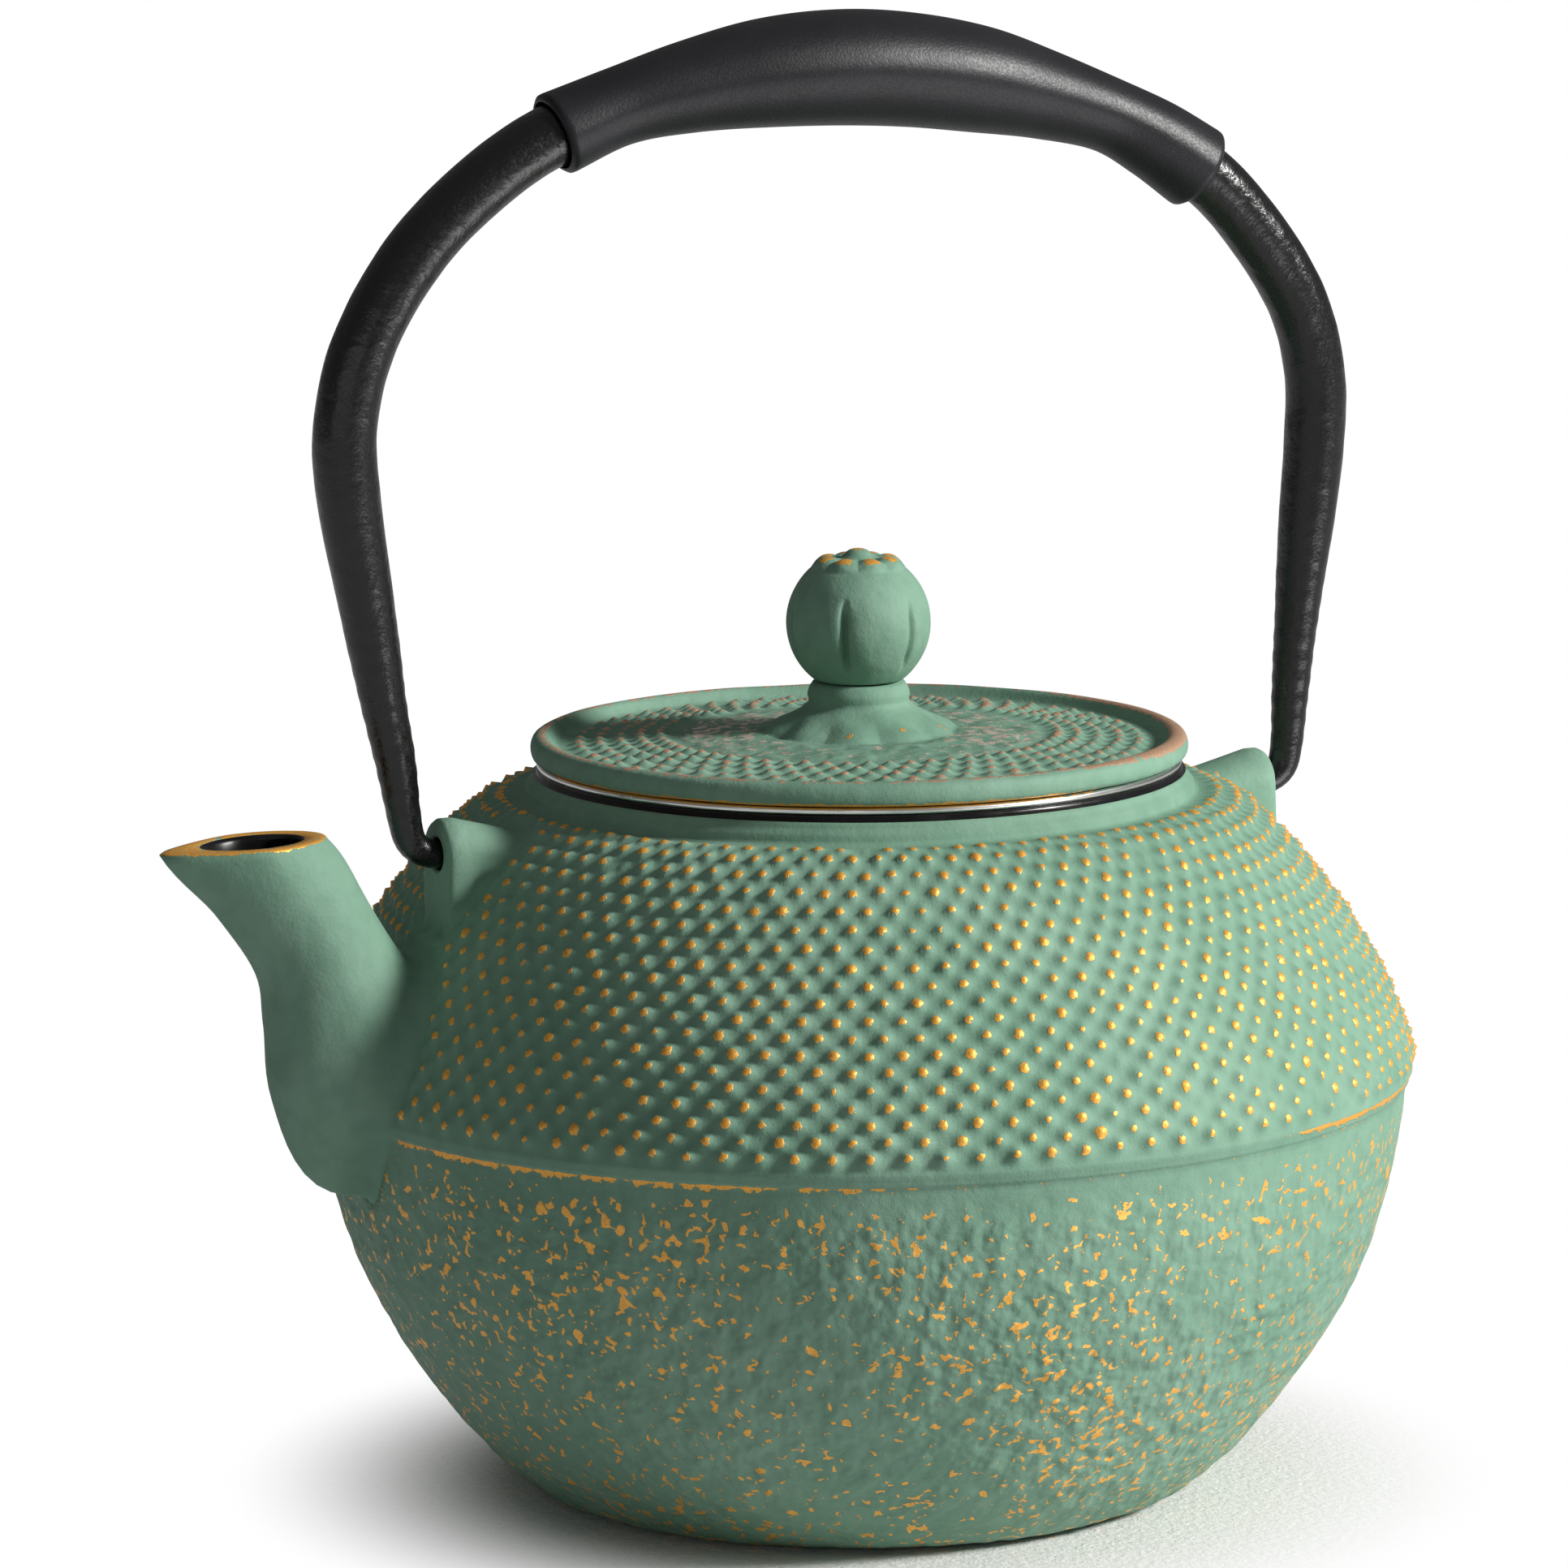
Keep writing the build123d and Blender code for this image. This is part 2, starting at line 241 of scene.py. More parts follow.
# --- node helpers
class Nodes:
    """A material's node tree, with short calls for the nodes used here."""

    def __init__(self, name):
        self.mat = bpy.data.materials.new(name)
        self.mat.use_nodes = True
        self.t = self.mat.node_tree
        self.t.nodes.clear()
        self.out = self.t.nodes.new("ShaderNodeOutputMaterial")
        self.bsdf = self.t.nodes.new("ShaderNodeBsdfPrincipled")
        self.t.links.new(self.bsdf.outputs[0], self.out.inputs["Surface"])
        self.obj = self.t.nodes.new("ShaderNodeTexCoord").outputs["Object"]

    def put(self, socket, value):
        if isinstance(value, bpy.types.NodeSocket):
            self.t.links.new(value, socket)
        else:
            socket.default_value = value

    def attr(self, name):
        n = self.t.nodes.new("ShaderNodeAttribute")
        n.attribute_name = name
        return n.outputs["Fac"]

    def noise(self, scale, detail=2.0, rough=0.5, vector=None, distort=0.0):
        n = self.t.nodes.new("ShaderNodeTexNoise")
        self.put(n.inputs["Vector"], vector if vector is not None else self.obj)
        n.inputs["Scale"].default_value = scale
        n.inputs["Detail"].default_value = detail
        n.inputs["Roughness"].default_value = rough
        n.inputs["Distortion"].default_value = distort
        return n.outputs["Fac"]

    def stretch(self, sx, sy, sz):
        n = self.t.nodes.new("ShaderNodeMapping")
        self.put(n.inputs["Vector"], self.obj)
        n.inputs["Scale"].default_value = (sx, sy, sz)
        return n.outputs["Vector"]

    def math(self, op, a, b):
        n = self.t.nodes.new("ShaderNodeMath")
        n.operation = op
        self.put(n.inputs[0], a)
        self.put(n.inputs[1], b)
        return n.outputs[0]

    def blend(self, *parts):
        """Weighted sum of (value, weight) pairs."""
        total = None
        for value, weight in parts:
            if weight != 1.0:
                value = self.math("MULTIPLY", value, weight)
            total = value if total is None else self.math("ADD", total, value)
        return total

    def centred(self, value):
        return self.math("SUBTRACT", value, 0.5)

    def ramp(self, value, lo, hi, to_lo=0.0, to_hi=1.0):
        n = self.t.nodes.new("ShaderNodeMapRange")
        n.interpolation_type = "SMOOTHSTEP"
        self.put(n.inputs["Value"], value)
        for key, v in (("From Min", lo), ("From Max", hi), ("To Min", to_lo), ("To Max", to_hi)):
            n.inputs[key].default_value = v
        return n.outputs["Result"]

    def mix(self, factor, a, b):
        n = self.t.nodes.new("ShaderNodeMix")
        n.data_type = "RGBA"
        self.put(n.inputs["Factor"], factor)
        self.put(n.inputs["A"], a if isinstance(a, bpy.types.NodeSocket) else (*a, 1.0))
        self.put(n.inputs["B"], b if isinstance(b, bpy.types.NodeSocket) else (*b, 1.0))
        return n.outputs["Result"]

    def bump(self, height, distance, strength):
        n = self.t.nodes.new("ShaderNodeBump")
        self.put(n.inputs["Height"], height)
        n.inputs["Distance"].default_value = distance
        n.inputs["Strength"].default_value = strength
        return n.outputs["Normal"]

    def set(self, **values):
        for key, v in values.items():
            self.put(self.bsdf.inputs[key.replace("_", " ")], v)
        return self.mat


GREEN = (0.172, 0.322, 0.232)
# darker green for the painted shade in the hollows of the relief
GREEN_HOLLOW_SHADE = (0.130, 0.250, 0.176)
GREEN_PALE = (0.225, 0.380, 0.285)
GOLD = (0.96, 0.48, 0.09)
GOLD_FLECK = (1.0, 0.52, 0.11)
PALE_FLECK = (0.78, 0.66, 0.54)
ROSE_GOLD = (0.68, 0.42, 0.27)
FLECK_GATE = 0.604


def paint_material(name, gold_colour, fleck_colour, tip_gate):
    """Matt green paint over rough iron with gold rubbed on the high spots."""
    n = Nodes(name)
    broad = n.noise(38.0, 3.0, 0.6)
    fine = n.noise(1500.0, 2.0, 0.6)
    grain = n.noise(5200.0, 1.0, 0.5)
    lump = n.noise(400.0, 1.0, 0.4)
    streak = n.noise(420.0, 1.0, 0.4, vector=n.stretch(1.0, 1.0, 0.75))
    rough_zone = n.attr("rough")
    relief = n.mix(n.ramp(broad, 0.42, 0.58), lump, streak)
    # gold on hobnail tips
    tip = n.blend((n.attr("tip"), 1.0), (n.centred(n.noise(1900.0, 2.0)), 0.55))
    on_tip = n.ramp(tip, tip_gate, tip_gate + 0.10)
    # gold on worn edges, broken up
    edge = n.blend((n.attr("edge"), 1.0), (n.centred(n.noise(620.0, 3.0, 0.6)), 1.9))
    on_edge = n.ramp(edge, 0.78, 0.86)
    # gold flecks, small and irregular, on the crests of the rough skin
    speck = n.noise(700.0, 1.0, 0.45, distort=0.5)
    frayed = n.noise(2500.0, 2.0, 0.6)
    crest = n.blend((speck, 0.74), (relief, 0.12), (frayed, 0.14), (n.centred(n.attr("fleck")), 0.11))
    on_fleck = n.math("MULTIPLY", n.ramp(crest, FLECK_GATE, FLECK_GATE + 0.010),
                      n.ramp(n.attr("fleck"), 0.02, 0.12))
    gold = n.math("MAXIMUM", n.math("MAXIMUM", on_tip, on_edge), on_fleck)
    green = n.mix(n.ramp(broad, 0.3, 0.7), GREEN, GREEN_PALE)
    # painted shade: the green darkens where the relief is low, in the hollows of the hammered lower
    # skin; on the smoother parts the same mix is darker tone at random
    green = n.mix(n.ramp(relief, 0.62, 0.30, 0.0, 0.28), green, GREEN_HOLLOW_SHADE)
    green = n.mix(n.ramp(fine, 0.35, 0.75, 0.0, 0.16), green, GREEN_PALE)
    mottle = n.ramp(n.noise(2600.0, 1.0), 0.35, 0.65, 0.84, 1.0)
    gilt = n.mix(mottle, (0.0, 0.0, 0.0), n.mix(on_fleck, gold_colour, fleck_colour))
    colour = n.mix(gold, green, gilt)
    height = n.blend((relief, rough_zone), (fine, 0.07), (grain, 0.025), (gold, 0.05))
    return n.set(
        Base_Color=colour,
        Metallic=n.math("MULTIPLY", gold, 0.45),
        Roughness=n.ramp(gold, 0.0, 1.0, 0.66, 0.45),
        Specular_IOR_Level=0.25,
        Normal=n.bump(height, 0.0012, 0.8),
    )


def enamel_material():
    n = Nodes("black_enamel")
    ripple = n.noise(180.0, 2.0, 0.5)
    return n.set(
        Base_Color=n.mix(n.ramp(n.noise(60.0), 0.3, 0.7), (0.004, 0.004, 0.0045),
                         (0.010, 0.010, 0.011)),
        Roughness=n.ramp(ripple, 0.3, 0.7, 0.18, 0.34),
        Specular_IOR_Level=0.25,
        Normal=n.bump(ripple, 0.0003, 0.5),
    )


def rod_material():
    n = Nodes("black_rod")
    hammer = n.noise(300.0, 2.0, 0.5, distort=0.4)
    fine = n.noise(2400.0, 2.0, 0.6)
    scuff = n.ramp(n.noise(900.0, 3.0, 0.7), 0.70, 0.76)
    height = n.blend((hammer, 0.8), (fine, 0.18))
    return n.set(
        Base_Color=n.mix(scuff, (0.0045, 0.0045, 0.005), (0.035, 0.034, 0.033)),
        Roughness=n.ramp(fine, 0.3, 0.7, 0.19, 0.31),
        Specular_IOR_Level=0.60,
        Normal=n.bump(height, 0.0005, 0.6),
    )


def grip_material():
    n = Nodes("black_sleeve")
    fine = n.noise(2600.0, 2.0, 0.6)
    soft = n.noise(90.0, 2.0, 0.5)
    return n.set(
        Base_Color=n.mix(n.ramp(soft, 0.3, 0.7), (0.014, 0.014, 0.0165), (0.018, 0.018, 0.021)),
        Roughness=n.ramp(fine, 0.3, 0.7, 0.34, 0.44),
        Specular_IOR_Level=0.26,
        Normal=n.bump(n.blend((fine, 0.3), (soft, 1.0)), 0.00025, 0.5),
    )


def steel_material():
    n = Nodes("strainer_steel")
    lines = n.noise(500.0, 3.0, 0.6, vector=n.stretch(0.08, 0.08, 3.0))
    return n.set(
        Base_Color=n.mix(lines, (0.84, 0.84, 0.83), (0.92, 0.92, 0.91)),
        Metallic=1.0,
        Roughness=n.ramp(lines, 0.3, 0.7, 0.16, 0.30),
        Normal=n.bump(lines, 0.0002, 0.4),
    )


PAINT = paint_material("green_gold_paint", GOLD, GOLD_FLECK, 0.485)
LID_PAINT = paint_material("green_rose_paint", ROSE_GOLD, PALE_FLECK, 0.50)
ENAMEL = enamel_material()
ROD = rod_material()
SLEEVE = grip_material()
STEEL = steel_material()

# --- pot body profiles
SHOULDER = np.array([  # hobnail row, radius and height of its tips
    (-3, 80.029, 63.323), (1, 76.716, 72.185), (5, 71.989, 80.794),
    (9, 65.670, 89.571), (12, 59.439, 96.376), (15, 51.645, 101.356)])
fit_r = np.polynomial.Polynomial.fit(SHOULDER[:, 0], SHOULDER[:, 1], 5)
fit_z = np.polynomial.Polynomial.fit(SHOULDER[:, 0], SHOULDER[:, 2], 5)
NAIL = 1.32  # hobnail height
FIRST_ROW, LAST_ROW = -3, 15
LEDGE_TOP_J = -4.25  # row coordinate of the ledge's upper edge
J_STEP = 0.25
upper_j = np.arange(LEDGE_TOP_J, 15.76, J_STEP)


def upper_line(j):
    """The skin between the hobnails: radius and height on row coordinate j."""
    r, z = fit_r(j), fit_z(j)
    dr, dz = fit_r.deriv()(j), fit_z.deriv()(j)
    size = np.hypot(dr, dz)
    return np.stack([r - NAIL * dz / size, z + NAIL * dr / size], 1)


upper = upper_line(upper_j)
ledge = np.array([(79.0, -0.5), (78.95, -1.1), (78.75, -1.45), (78.42, -1.75)]) + (0, upper[0, 1])
lower = catmull([(78.35, 58.0), (77.55, 52.0), (75.9, 43.5), (72.8, 34.0), (68.1, 24.6),
                 (63.1, 16.9), (58.4, 10.8), (53.8, 5.9), (48.8, 1.7), (44.0, 0.0)], 88)
under = np.array([(42.0, 0.0), (30.0, 0.0), (12.0, 0.0)])
foot = upper[-1]
collar = catmull([foot, (foot[0] - 1.2, foot[1] + 0.35), (47.9, 101.9), (47.0, 102.8),
                  (46.75, MOUTH_TOP - 0.83)], 9)[1:]
lip = np.array([(46.35, -0.80), (46.3, -0.3), (46.05, 0), (44.2, 0), (42.2, 0), (41.6, -0.3),
                (41.5, -1.5)]) + (0, MOUTH_TOP)
inside = catmull([(41.5, 99.9), (49.0, 96.8), (55.8, 92.2), (62.9, 85.0), (68.4, 77.2),
                  (72.4, 69.0), (74.0, 59.4), (72.4, 46.6), (68.0, 33.2), (59.8, 19.6),
                  (51.0, 9.6), (40.0, 4.5)], 34)
inside_floor = np.array([(24.0, FLOOR_Z), (8.0, FLOOR_Z)])

# one run of rings from the middle of the underside, up the outside and down the inside
outline = np.vstack([under[::-1], lower[::-1], ledge[::-1], upper, collar, lip, inside,
                     inside_floor])
N_UNDER = len(under)
N_LOW = N_UNDER + len(lower)
N_LEDGE = N_LOW + len(ledge)
N_UP = N_LEDGE + len(upper)
N_COLLAR = N_UP + len(collar)
N_LIP = N_COLLAR + len(lip)
N_IN = N_LIP + len(inside)
out_z, out_r = outline[N_UNDER:N_COLLAR, 1], outline[N_UNDER:N_COLLAR, 0]
in_z, in_r = inside[::-1, 1], inside[::-1, 0]


def outer_radius(z):
    return np.interp(z, out_z, out_r)


def inner_radius(z):
    return np.interp(z, in_z, in_r)


def ring_of(z, first, last):
    """Fractional ring number at height z on the run first..last."""
    zz = outline[first:last, 1]
    if zz[0] > zz[-1]:
        return last - 1 - np.interp(z, zz[::-1], np.arange(len(zz)))
    return first + np.interp(z, zz, np.arange(len(zz)))


# --- spout and lug runs
SPOUT_OUT = [  # centre x, centre z, facing angle from +Z towards -X, half rise, half width
    (-66.0, 63.6, 87.0, 13.4, 10.4), (-75.0, 65.2, 58.6, 17.3, 10.8),
    (-80.0, 71.8, 36.1, 14.0, 10.2), (-82.7, 79.4, 28.1, 10.9, 9.2),
    (-86.3, 88.3, 31.5, 9.4, 8.3), (-94.3, 100.2, 2.0, 11.2, 7.8)]
SPOUT_IN = [
    (-62.0, 62.6, 87.0, 10.2, 7.4), (-74.0, 66.2, 58.6, 11.0, 7.2), (-79.0, 72.3, 36.1, 9.3, 6.8),
    (-82.4, 79.6, 28.1, 7.6, 6.2), (-86.1, 88.4, 31.5, 6.4, 5.4), (-93.7, 100.2, 2.0, 6.8, 5.0)]
THETA = circle(112)  # 0 is the front of the spout, away from the pot


def tube_lines(stations, count, keel=0.0):
    """Points [station, theta] on a tube given by its sections; keel draws the front to an edge."""
    s = catmull(stations, count)
    cx, cz, face, rise, wide = (s[:, k][:, None] for k in range(5))
    face = np.radians(face)
    # in-plane direction at right angles to the facing, towards the front of the spout
    ux, uz = -np.cos(face), -np.sin(face)
    c, w = np.cos(THETA)[None], np.sin(THETA)[None]
    bow = np.clip(c, 0, 1)
    run = np.linspace(0, 1, count)[:, None]
    sharp = 0.45 + 0.55 * smooth(0.6, 1.0, run) + 1.55 * smooth(0.45, 0.12, run)
    w = w * (1 - keel * sharp * bow**1.25)
    c = c * (1 + 0.55 * keel * smooth(0.84, 1.0, run) * bow**2)
    return np.stack([cx + ux * rise * c, -wide * w * np.ones_like(cx), cz + uz * rise * c], -1)


def cross(line, inside_test):
    """Index (fractional) along a run of points where inside_test turns positive."""
    v = inside_test(line)
    k = int(np.argmax(v > 0))
    if k == 0:
        return 0.0
    return k - 1 + v[k - 1] / (v[k - 1] - v[k])


def at(line, t):
    """The point at fractional index t of a run."""
    k = np.arange(len(line))
    return np.stack([np.interp(t, k, line[:, i]) for i in range(3)], -1)


def inside_body(p):
    return outer_radius(p[:, 2]) - np.hypot(p[:, 0], p[:, 1])


def outside_cavity(p):
    return inner_radius(p[:, 2]) - np.hypot(p[:, 0], p[:, 1])


def body_normal(p):
    z = p[:, 2]
    slope = (outer_radius(z + 0.3) - outer_radius(z - 0.3)) / 0.6
    r = np.hypot(p[:, 0], p[:, 1])
    return unit(np.stack([p[:, 0] / r, p[:, 1] / r, -slope], -1))


def to_body(p):
    """Nearest point on the body's skin, by a few short steps along its normal."""
    for _ in range(6):
        n = body_normal(p)
        gap = np.hypot(p[:, 0], p[:, 1]) - outer_radius(p[:, 2])
        p = p - n * (gap * np.hypot(n[:, 0], n[:, 1]))[:, None]
    return p


def ease_ring(v, times):
    """Soften values round a closed ring."""
    for _ in range(times):
        v = 0.5 * v + 0.25 * (np.roll(v, 1, 0) + np.roll(v, -1, 0))
    return v


def joined(lines, spread, climb, steps):
    """Runs of points that start on the body with a fillet and follow `lines` away from it.

    lines[theta] runs from its far end towards the pot. Returns the fillet rings, body
    ring first, and the fractional index on each line where the fillet lets go."""
    hit = ease_ring(np.array([cross(line, inside_body) for line in lines]), 2)
    corner = np.array([at(line, h) for line, h in zip(lines, hit)])
    along = np.roll(corner, -1, 0) - np.roll(corner, 1, 0)
    normal = body_normal(corner)
    away = unit(np.cross(along, normal))
    if np.mean(np.sum(away * (corner - corner.mean(0)), 1)) < 0:
        away = -away
    base = to_body(corner + away * spread[:, None])
    base = to_body(ease_ring(base, 3))
    gap = [np.linalg.norm(at(line, h) - at(line, max(h - 1, 0)) + 1e-9) for line, h in zip(lines, hit)]
    off = ease_ring(np.maximum(hit - climb / np.array(gap), 0.0), 3)
    top = np.array([at(line, o) for line, o in zip(lines, off)])
    t = np.linspace(0, 1, steps)[:, None, None]
    rings = (1 - t)**2 * base + 2 * t * (1 - t) * corner + t**2 * top
    return rings, off


outer_tube = tube_lines(SPOUT_OUT, 90, 0.34)[::-1]  # mouth first
spout_lines = [outer_tube[:, k] for k in range(len(THETA))]
spout_fillet, spout_off = joined(spout_lines, 2.2 - 0.8 * np.cos(THETA), 3.6, 9)
inner_tube = tube_lines(SPOUT_IN, 70)[::-1]
bore_lines = [inner_tube[:, k] for k in range(len(THETA))]
bore_hit = ease_ring(np.array([cross(line, outside_cavity) for line in bore_lines]), 2)

LUG_FACE = 66.3  # distance of the lug's face from the axis
LUG_HALF = 5.0  # radius of its rounded top
HOLE_R, HOLE_DEPTH = 2.4, 7.5
GAMMA = circle(72)  # around the hinge hole, 0 is up


def lug_lines(side):
    """Runs from the hinge hole's rim over the lug's face and edge, inwards to the pot."""
    runs = []
    for g in GAMMA:
        up, out = math.cos(g), math.sin(g)
        reach = LUG_HALF if up >= 0 else min(LUG_HALF / max(abs(out), 1e-3), 26.0)
        soft = 1.3
        rad = np.concatenate([np.linspace(HOLE_R + 0.35, reach - soft, 12),
                              reach - soft + soft * np.sin(np.linspace(0.2, 1.3, 5))])
        x = np.concatenate([np.full(12, LUG_FACE),
                            LUG_FACE - soft * (1 - np.cos(np.linspace(0.2, 1.3, 5)))])
        pts = [(x_, r_ * out, HINGE_Z + r_ * up) for x_, r_ in zip(x, rad)]
        fall = 0.26 * max(up, 0.0)
        for d in np.linspace(0.6, 24.0, 40):
            pts.append((LUG_FACE - soft - d, reach * out,
                        HINGE_Z + reach * up - fall * max(d - 1.0, 0.0)))
        p = np.array(pts)
        p[:, 0] *= side
        p[:, 1] *= side
        runs.append(p)
    return runs


def lug_parts(side):
    lines = lug_lines(side)
    return (lines, *joined(lines, np.full(len(GAMMA), 1.1), 1.5, 5))


lugs = {side: lug_parts(side) for side in (-1, 1)}


def inside_polygon(x, y, px, py):
    """Which of the points x, y lie inside the closed outline px, py."""
    hit = np.zeros(x.shape, bool)
    for x0, y0, x1, y1 in zip(px, py, np.roll(px, -1), np.roll(py, -1)):
        cond = (y0 > y) != (y1 > y)
        with np.errstate(divide="ignore", invalid="ignore"):
            cut = (x1 - x0) * (y - y0) / (y1 - y0) + x0
        hit ^= cond & (x < cut)
    return hit


def turn_of(p, centre):
    """Angle round the pot relative to centre, in columns."""
    psi = np.arctan2(p[:, 0], -p[:, 1])
    d = (psi - centre + math.pi) % (2 * math.pi) - math.pi
    return d / (2 * math.pi / COLS)


# --- pot body mesh
PAINT_VALUES = ["tip", "edge", "fleck", "rough"]  # what the paint reads from the mesh


def build_pot():
    """The pot's casting: turned skin with hobnails, spout, lugs, hinge holes and inside."""
    shell = Shell(PAINT_VALUES)
    rings = len(outline)
    _, z, _, flat, normal = lathe(outline, PSI)
    push, tip, edge, fleck = np.zeros((4, rings, COLS))
    rough = np.full((rings, COLS), 0.10)

    # how far each point of the outer skin is from the spout's and lugs' fillets
    clear = np.full((rings, COLS), 99.0)
    for ring in (spout_fillet[0], lugs[-1][1][0], lugs[1][1][0]):
        lo, hi = ring.min(0) - 8, ring.max(0) + 8
        near = np.all((flat > lo) & (flat < hi), axis=-1)
        near[:N_UNDER] = False
        near[N_COLLAR:] = False
        pts = flat[near]
        gap = np.full(len(pts), 99.0)
        for q in ring:
            gap = np.minimum(gap, np.linalg.norm(pts - q, axis=1))
        clear[near] = np.minimum(clear[near], gap)

    # hobnails
    rng = np.random.default_rng(21)
    for j in range(FIRST_ROW, LAST_ROW + 1):
        line = N_LEDGE + int(round((j - LEDGE_TOP_J) / J_STEP))
        cols = (np.arange(DOTS) * 8 + (4 if j % 2 else 0)) % COLS
        height = 1 + rng.normal(0, 0.07, DOTS)
        weak = rng.random(DOTS) < 0.018
        height[weak] *= 0.45
        gild = rng.normal(0, 0.065, DOTS) + np.where(weak, -0.5, 0.0)
        shift_c, shift_l = rng.normal(0, 0.16, DOTS), rng.normal(0, 0.16, DOTS)
        if j == LAST_ROW:
            height *= 0.8
        step_c = 2 * math.pi / COLS * float(outline[line, 0])
        step_l = float(np.linalg.norm(outline[line] - outline[line - 1]))
        for dl in range(-6, 7):
            row = line + dl
            if row < N_LEDGE + 1 or row >= N_UP:
                continue
            for dc in range(-5, 6):
                dist = np.hypot((dc - shift_c) * step_c, (dl - shift_l) * step_l)
                c = (cols + dc) % COLS
                push[row, c] += 1.25 * NAIL * height * np.exp(-(dist / 1.30)**1.5)
                tip[row, c] = np.maximum(tip[row, c], 1 - dist / 1.35 + gild)
    # broad pyramids whose feet meet: the overlap is let down to the level of the skin
    overlap = 0.33 * NAIL
    push -= overlap * (1 - np.exp(-push / overlap))
    push *= smooth(0.2, 2.0, clear)
    tip *= smooth(0.6, 2.2, clear)
    edge_fade = smooth(0.0, 2.0, clear)

    # cast skin: shallow dents above, hammered skin below, nearly smooth just under the ledge
    below = slice(N_UNDER, N_LOW)
    skin = flat[below]
    wave = noise(skin, 2.9) * 0.5 + noise(skin * [1, 1, 0.8], 2.1, 9.0) * 0.5
    push[below] += (0.04 + 0.25 * smooth(58.5, 50.0, z[below])) * wave * edge_fade[below]
    swell = noise(flat, 14.0, 3.0)
    outside = slice(N_UNDER, N_COLLAR)
    push[outside] += 0.07 * (swell * edge_fade)[outside]
    push[N_LEDGE:N_UP] += 0.05 * noise(flat[N_LEDGE:N_UP], 2.2, 5.0)
    push[:N_UNDER + 2] = 0
    rough[below] = 0.16 + 0.84 * smooth(58.0, 50.0, z[below])
    fleck[below] = smooth(57.6, 54.0, z[below]) * (0.52 + 0.38 * noise(skin, 20.0, 11.0))
    # worn edges of the parting ledge and the collar
    view = seen_from(PSI)
    front = smooth(-72.0, -60.0, view) * smooth(20.0, -20.0, view)
    side = smooth(44.0, 56.0, view) * smooth(120.0, 95.0, view)
    edge[N_LEDGE] = 0.45 + 0.45 * side
    edge[N_LEDGE - 1] = 0.10 + 0.50 * side
    edge[N_LOW + 1] = 0.20 + 0.20 * front
    edge[N_LOW] = 0.60 + 0.52 * front
    edge[N_LOW - 1] = 0.30 + 0.25 * front
    edge[N_LOW + 1:N_LEDGE + 1] += 0.42 * side
    edge[N_COLLAR - 1] = 0.35
    edge *= edge_fade

    co = flat + push[..., None] * normal
    grid = shell.add(co, tip=tip, edge=edge, fleck=fleck, rough=rough).reshape(rings, COLS)

    gone = np.zeros((rings - 1, COLS), bool)

    def cut(ring, centre, first, last):
        """Drop the grid faces inside the ring and give back the loop left behind."""
        px, py = turn_of(ring, centre), ring_of(ring[:, 2], first, last)
        cx = turn_of(on_body(PSI, 1.0, 0 * PSI), centre)
        gx, gy = np.meshgrid(cx, np.arange(first, last))
        hit = inside_polygon(gx, gy, px, py)
        grow = hit.copy()
        for dx, dy in ((0.45, 0), (-0.45, 0), (0, 0.45), (0, -0.45)):
            grow |= inside_polygon(gx + dx, gy + dy, px, py)
        v = np.zeros((rings, COLS), bool)
        v[first:last] = grow
        face = v[:-1] | v[1:]
        face |= np.roll(face, -1, 1)
        here = face & ~gone
        gone[here] = True
        # edges used once by the dropped faces
        count = {}
        for a, c in zip(*np.nonzero(here)):
            n = (c + 1) % COLS
            loop = (grid[a, c], grid[a, n], grid[a + 1, n], grid[a + 1, c])
            for e in zip(loop, loop[1:] + loop[:1]):
                if (e[1], e[0]) in count:
                    del count[(e[1], e[0])]
                else:
                    count[e] = True
        follow = {a: b for a, b in count}
        start = next(iter(follow))
        walk = [start]
        while follow[walk[-1]] != start:
            walk.append(follow[walk[-1]])
        return np.array(walk)

    def turn_sign(points):
        """+1 when a loop runs anticlockwise seen from outside the pot."""
        c = points.mean(0)
        out = np.array([c[0], c[1], 0.0])
        area = np.cross(points - c, np.roll(points, -1, 0) - c).sum(0)
        return 1 if area @ out > 0 else -1

    def attach(ring_ids, centre, first, last, flip=False):
        """Open the grid under a ring and close the gap between the two with triangles."""
        ring = np.vstack(shell.co)[ring_ids]
        loop = cut(ring, centre, first, last)
        co_all = np.vstack(shell.co)
        if turn_sign(co_all[loop]) != turn_sign(ring):
            loop = loop[::-1]
        anti = turn_sign(ring) > 0
        shell.zipper(loop, ring_ids, ENAMELLED if flip else PAINTED, flip=(anti == flip))

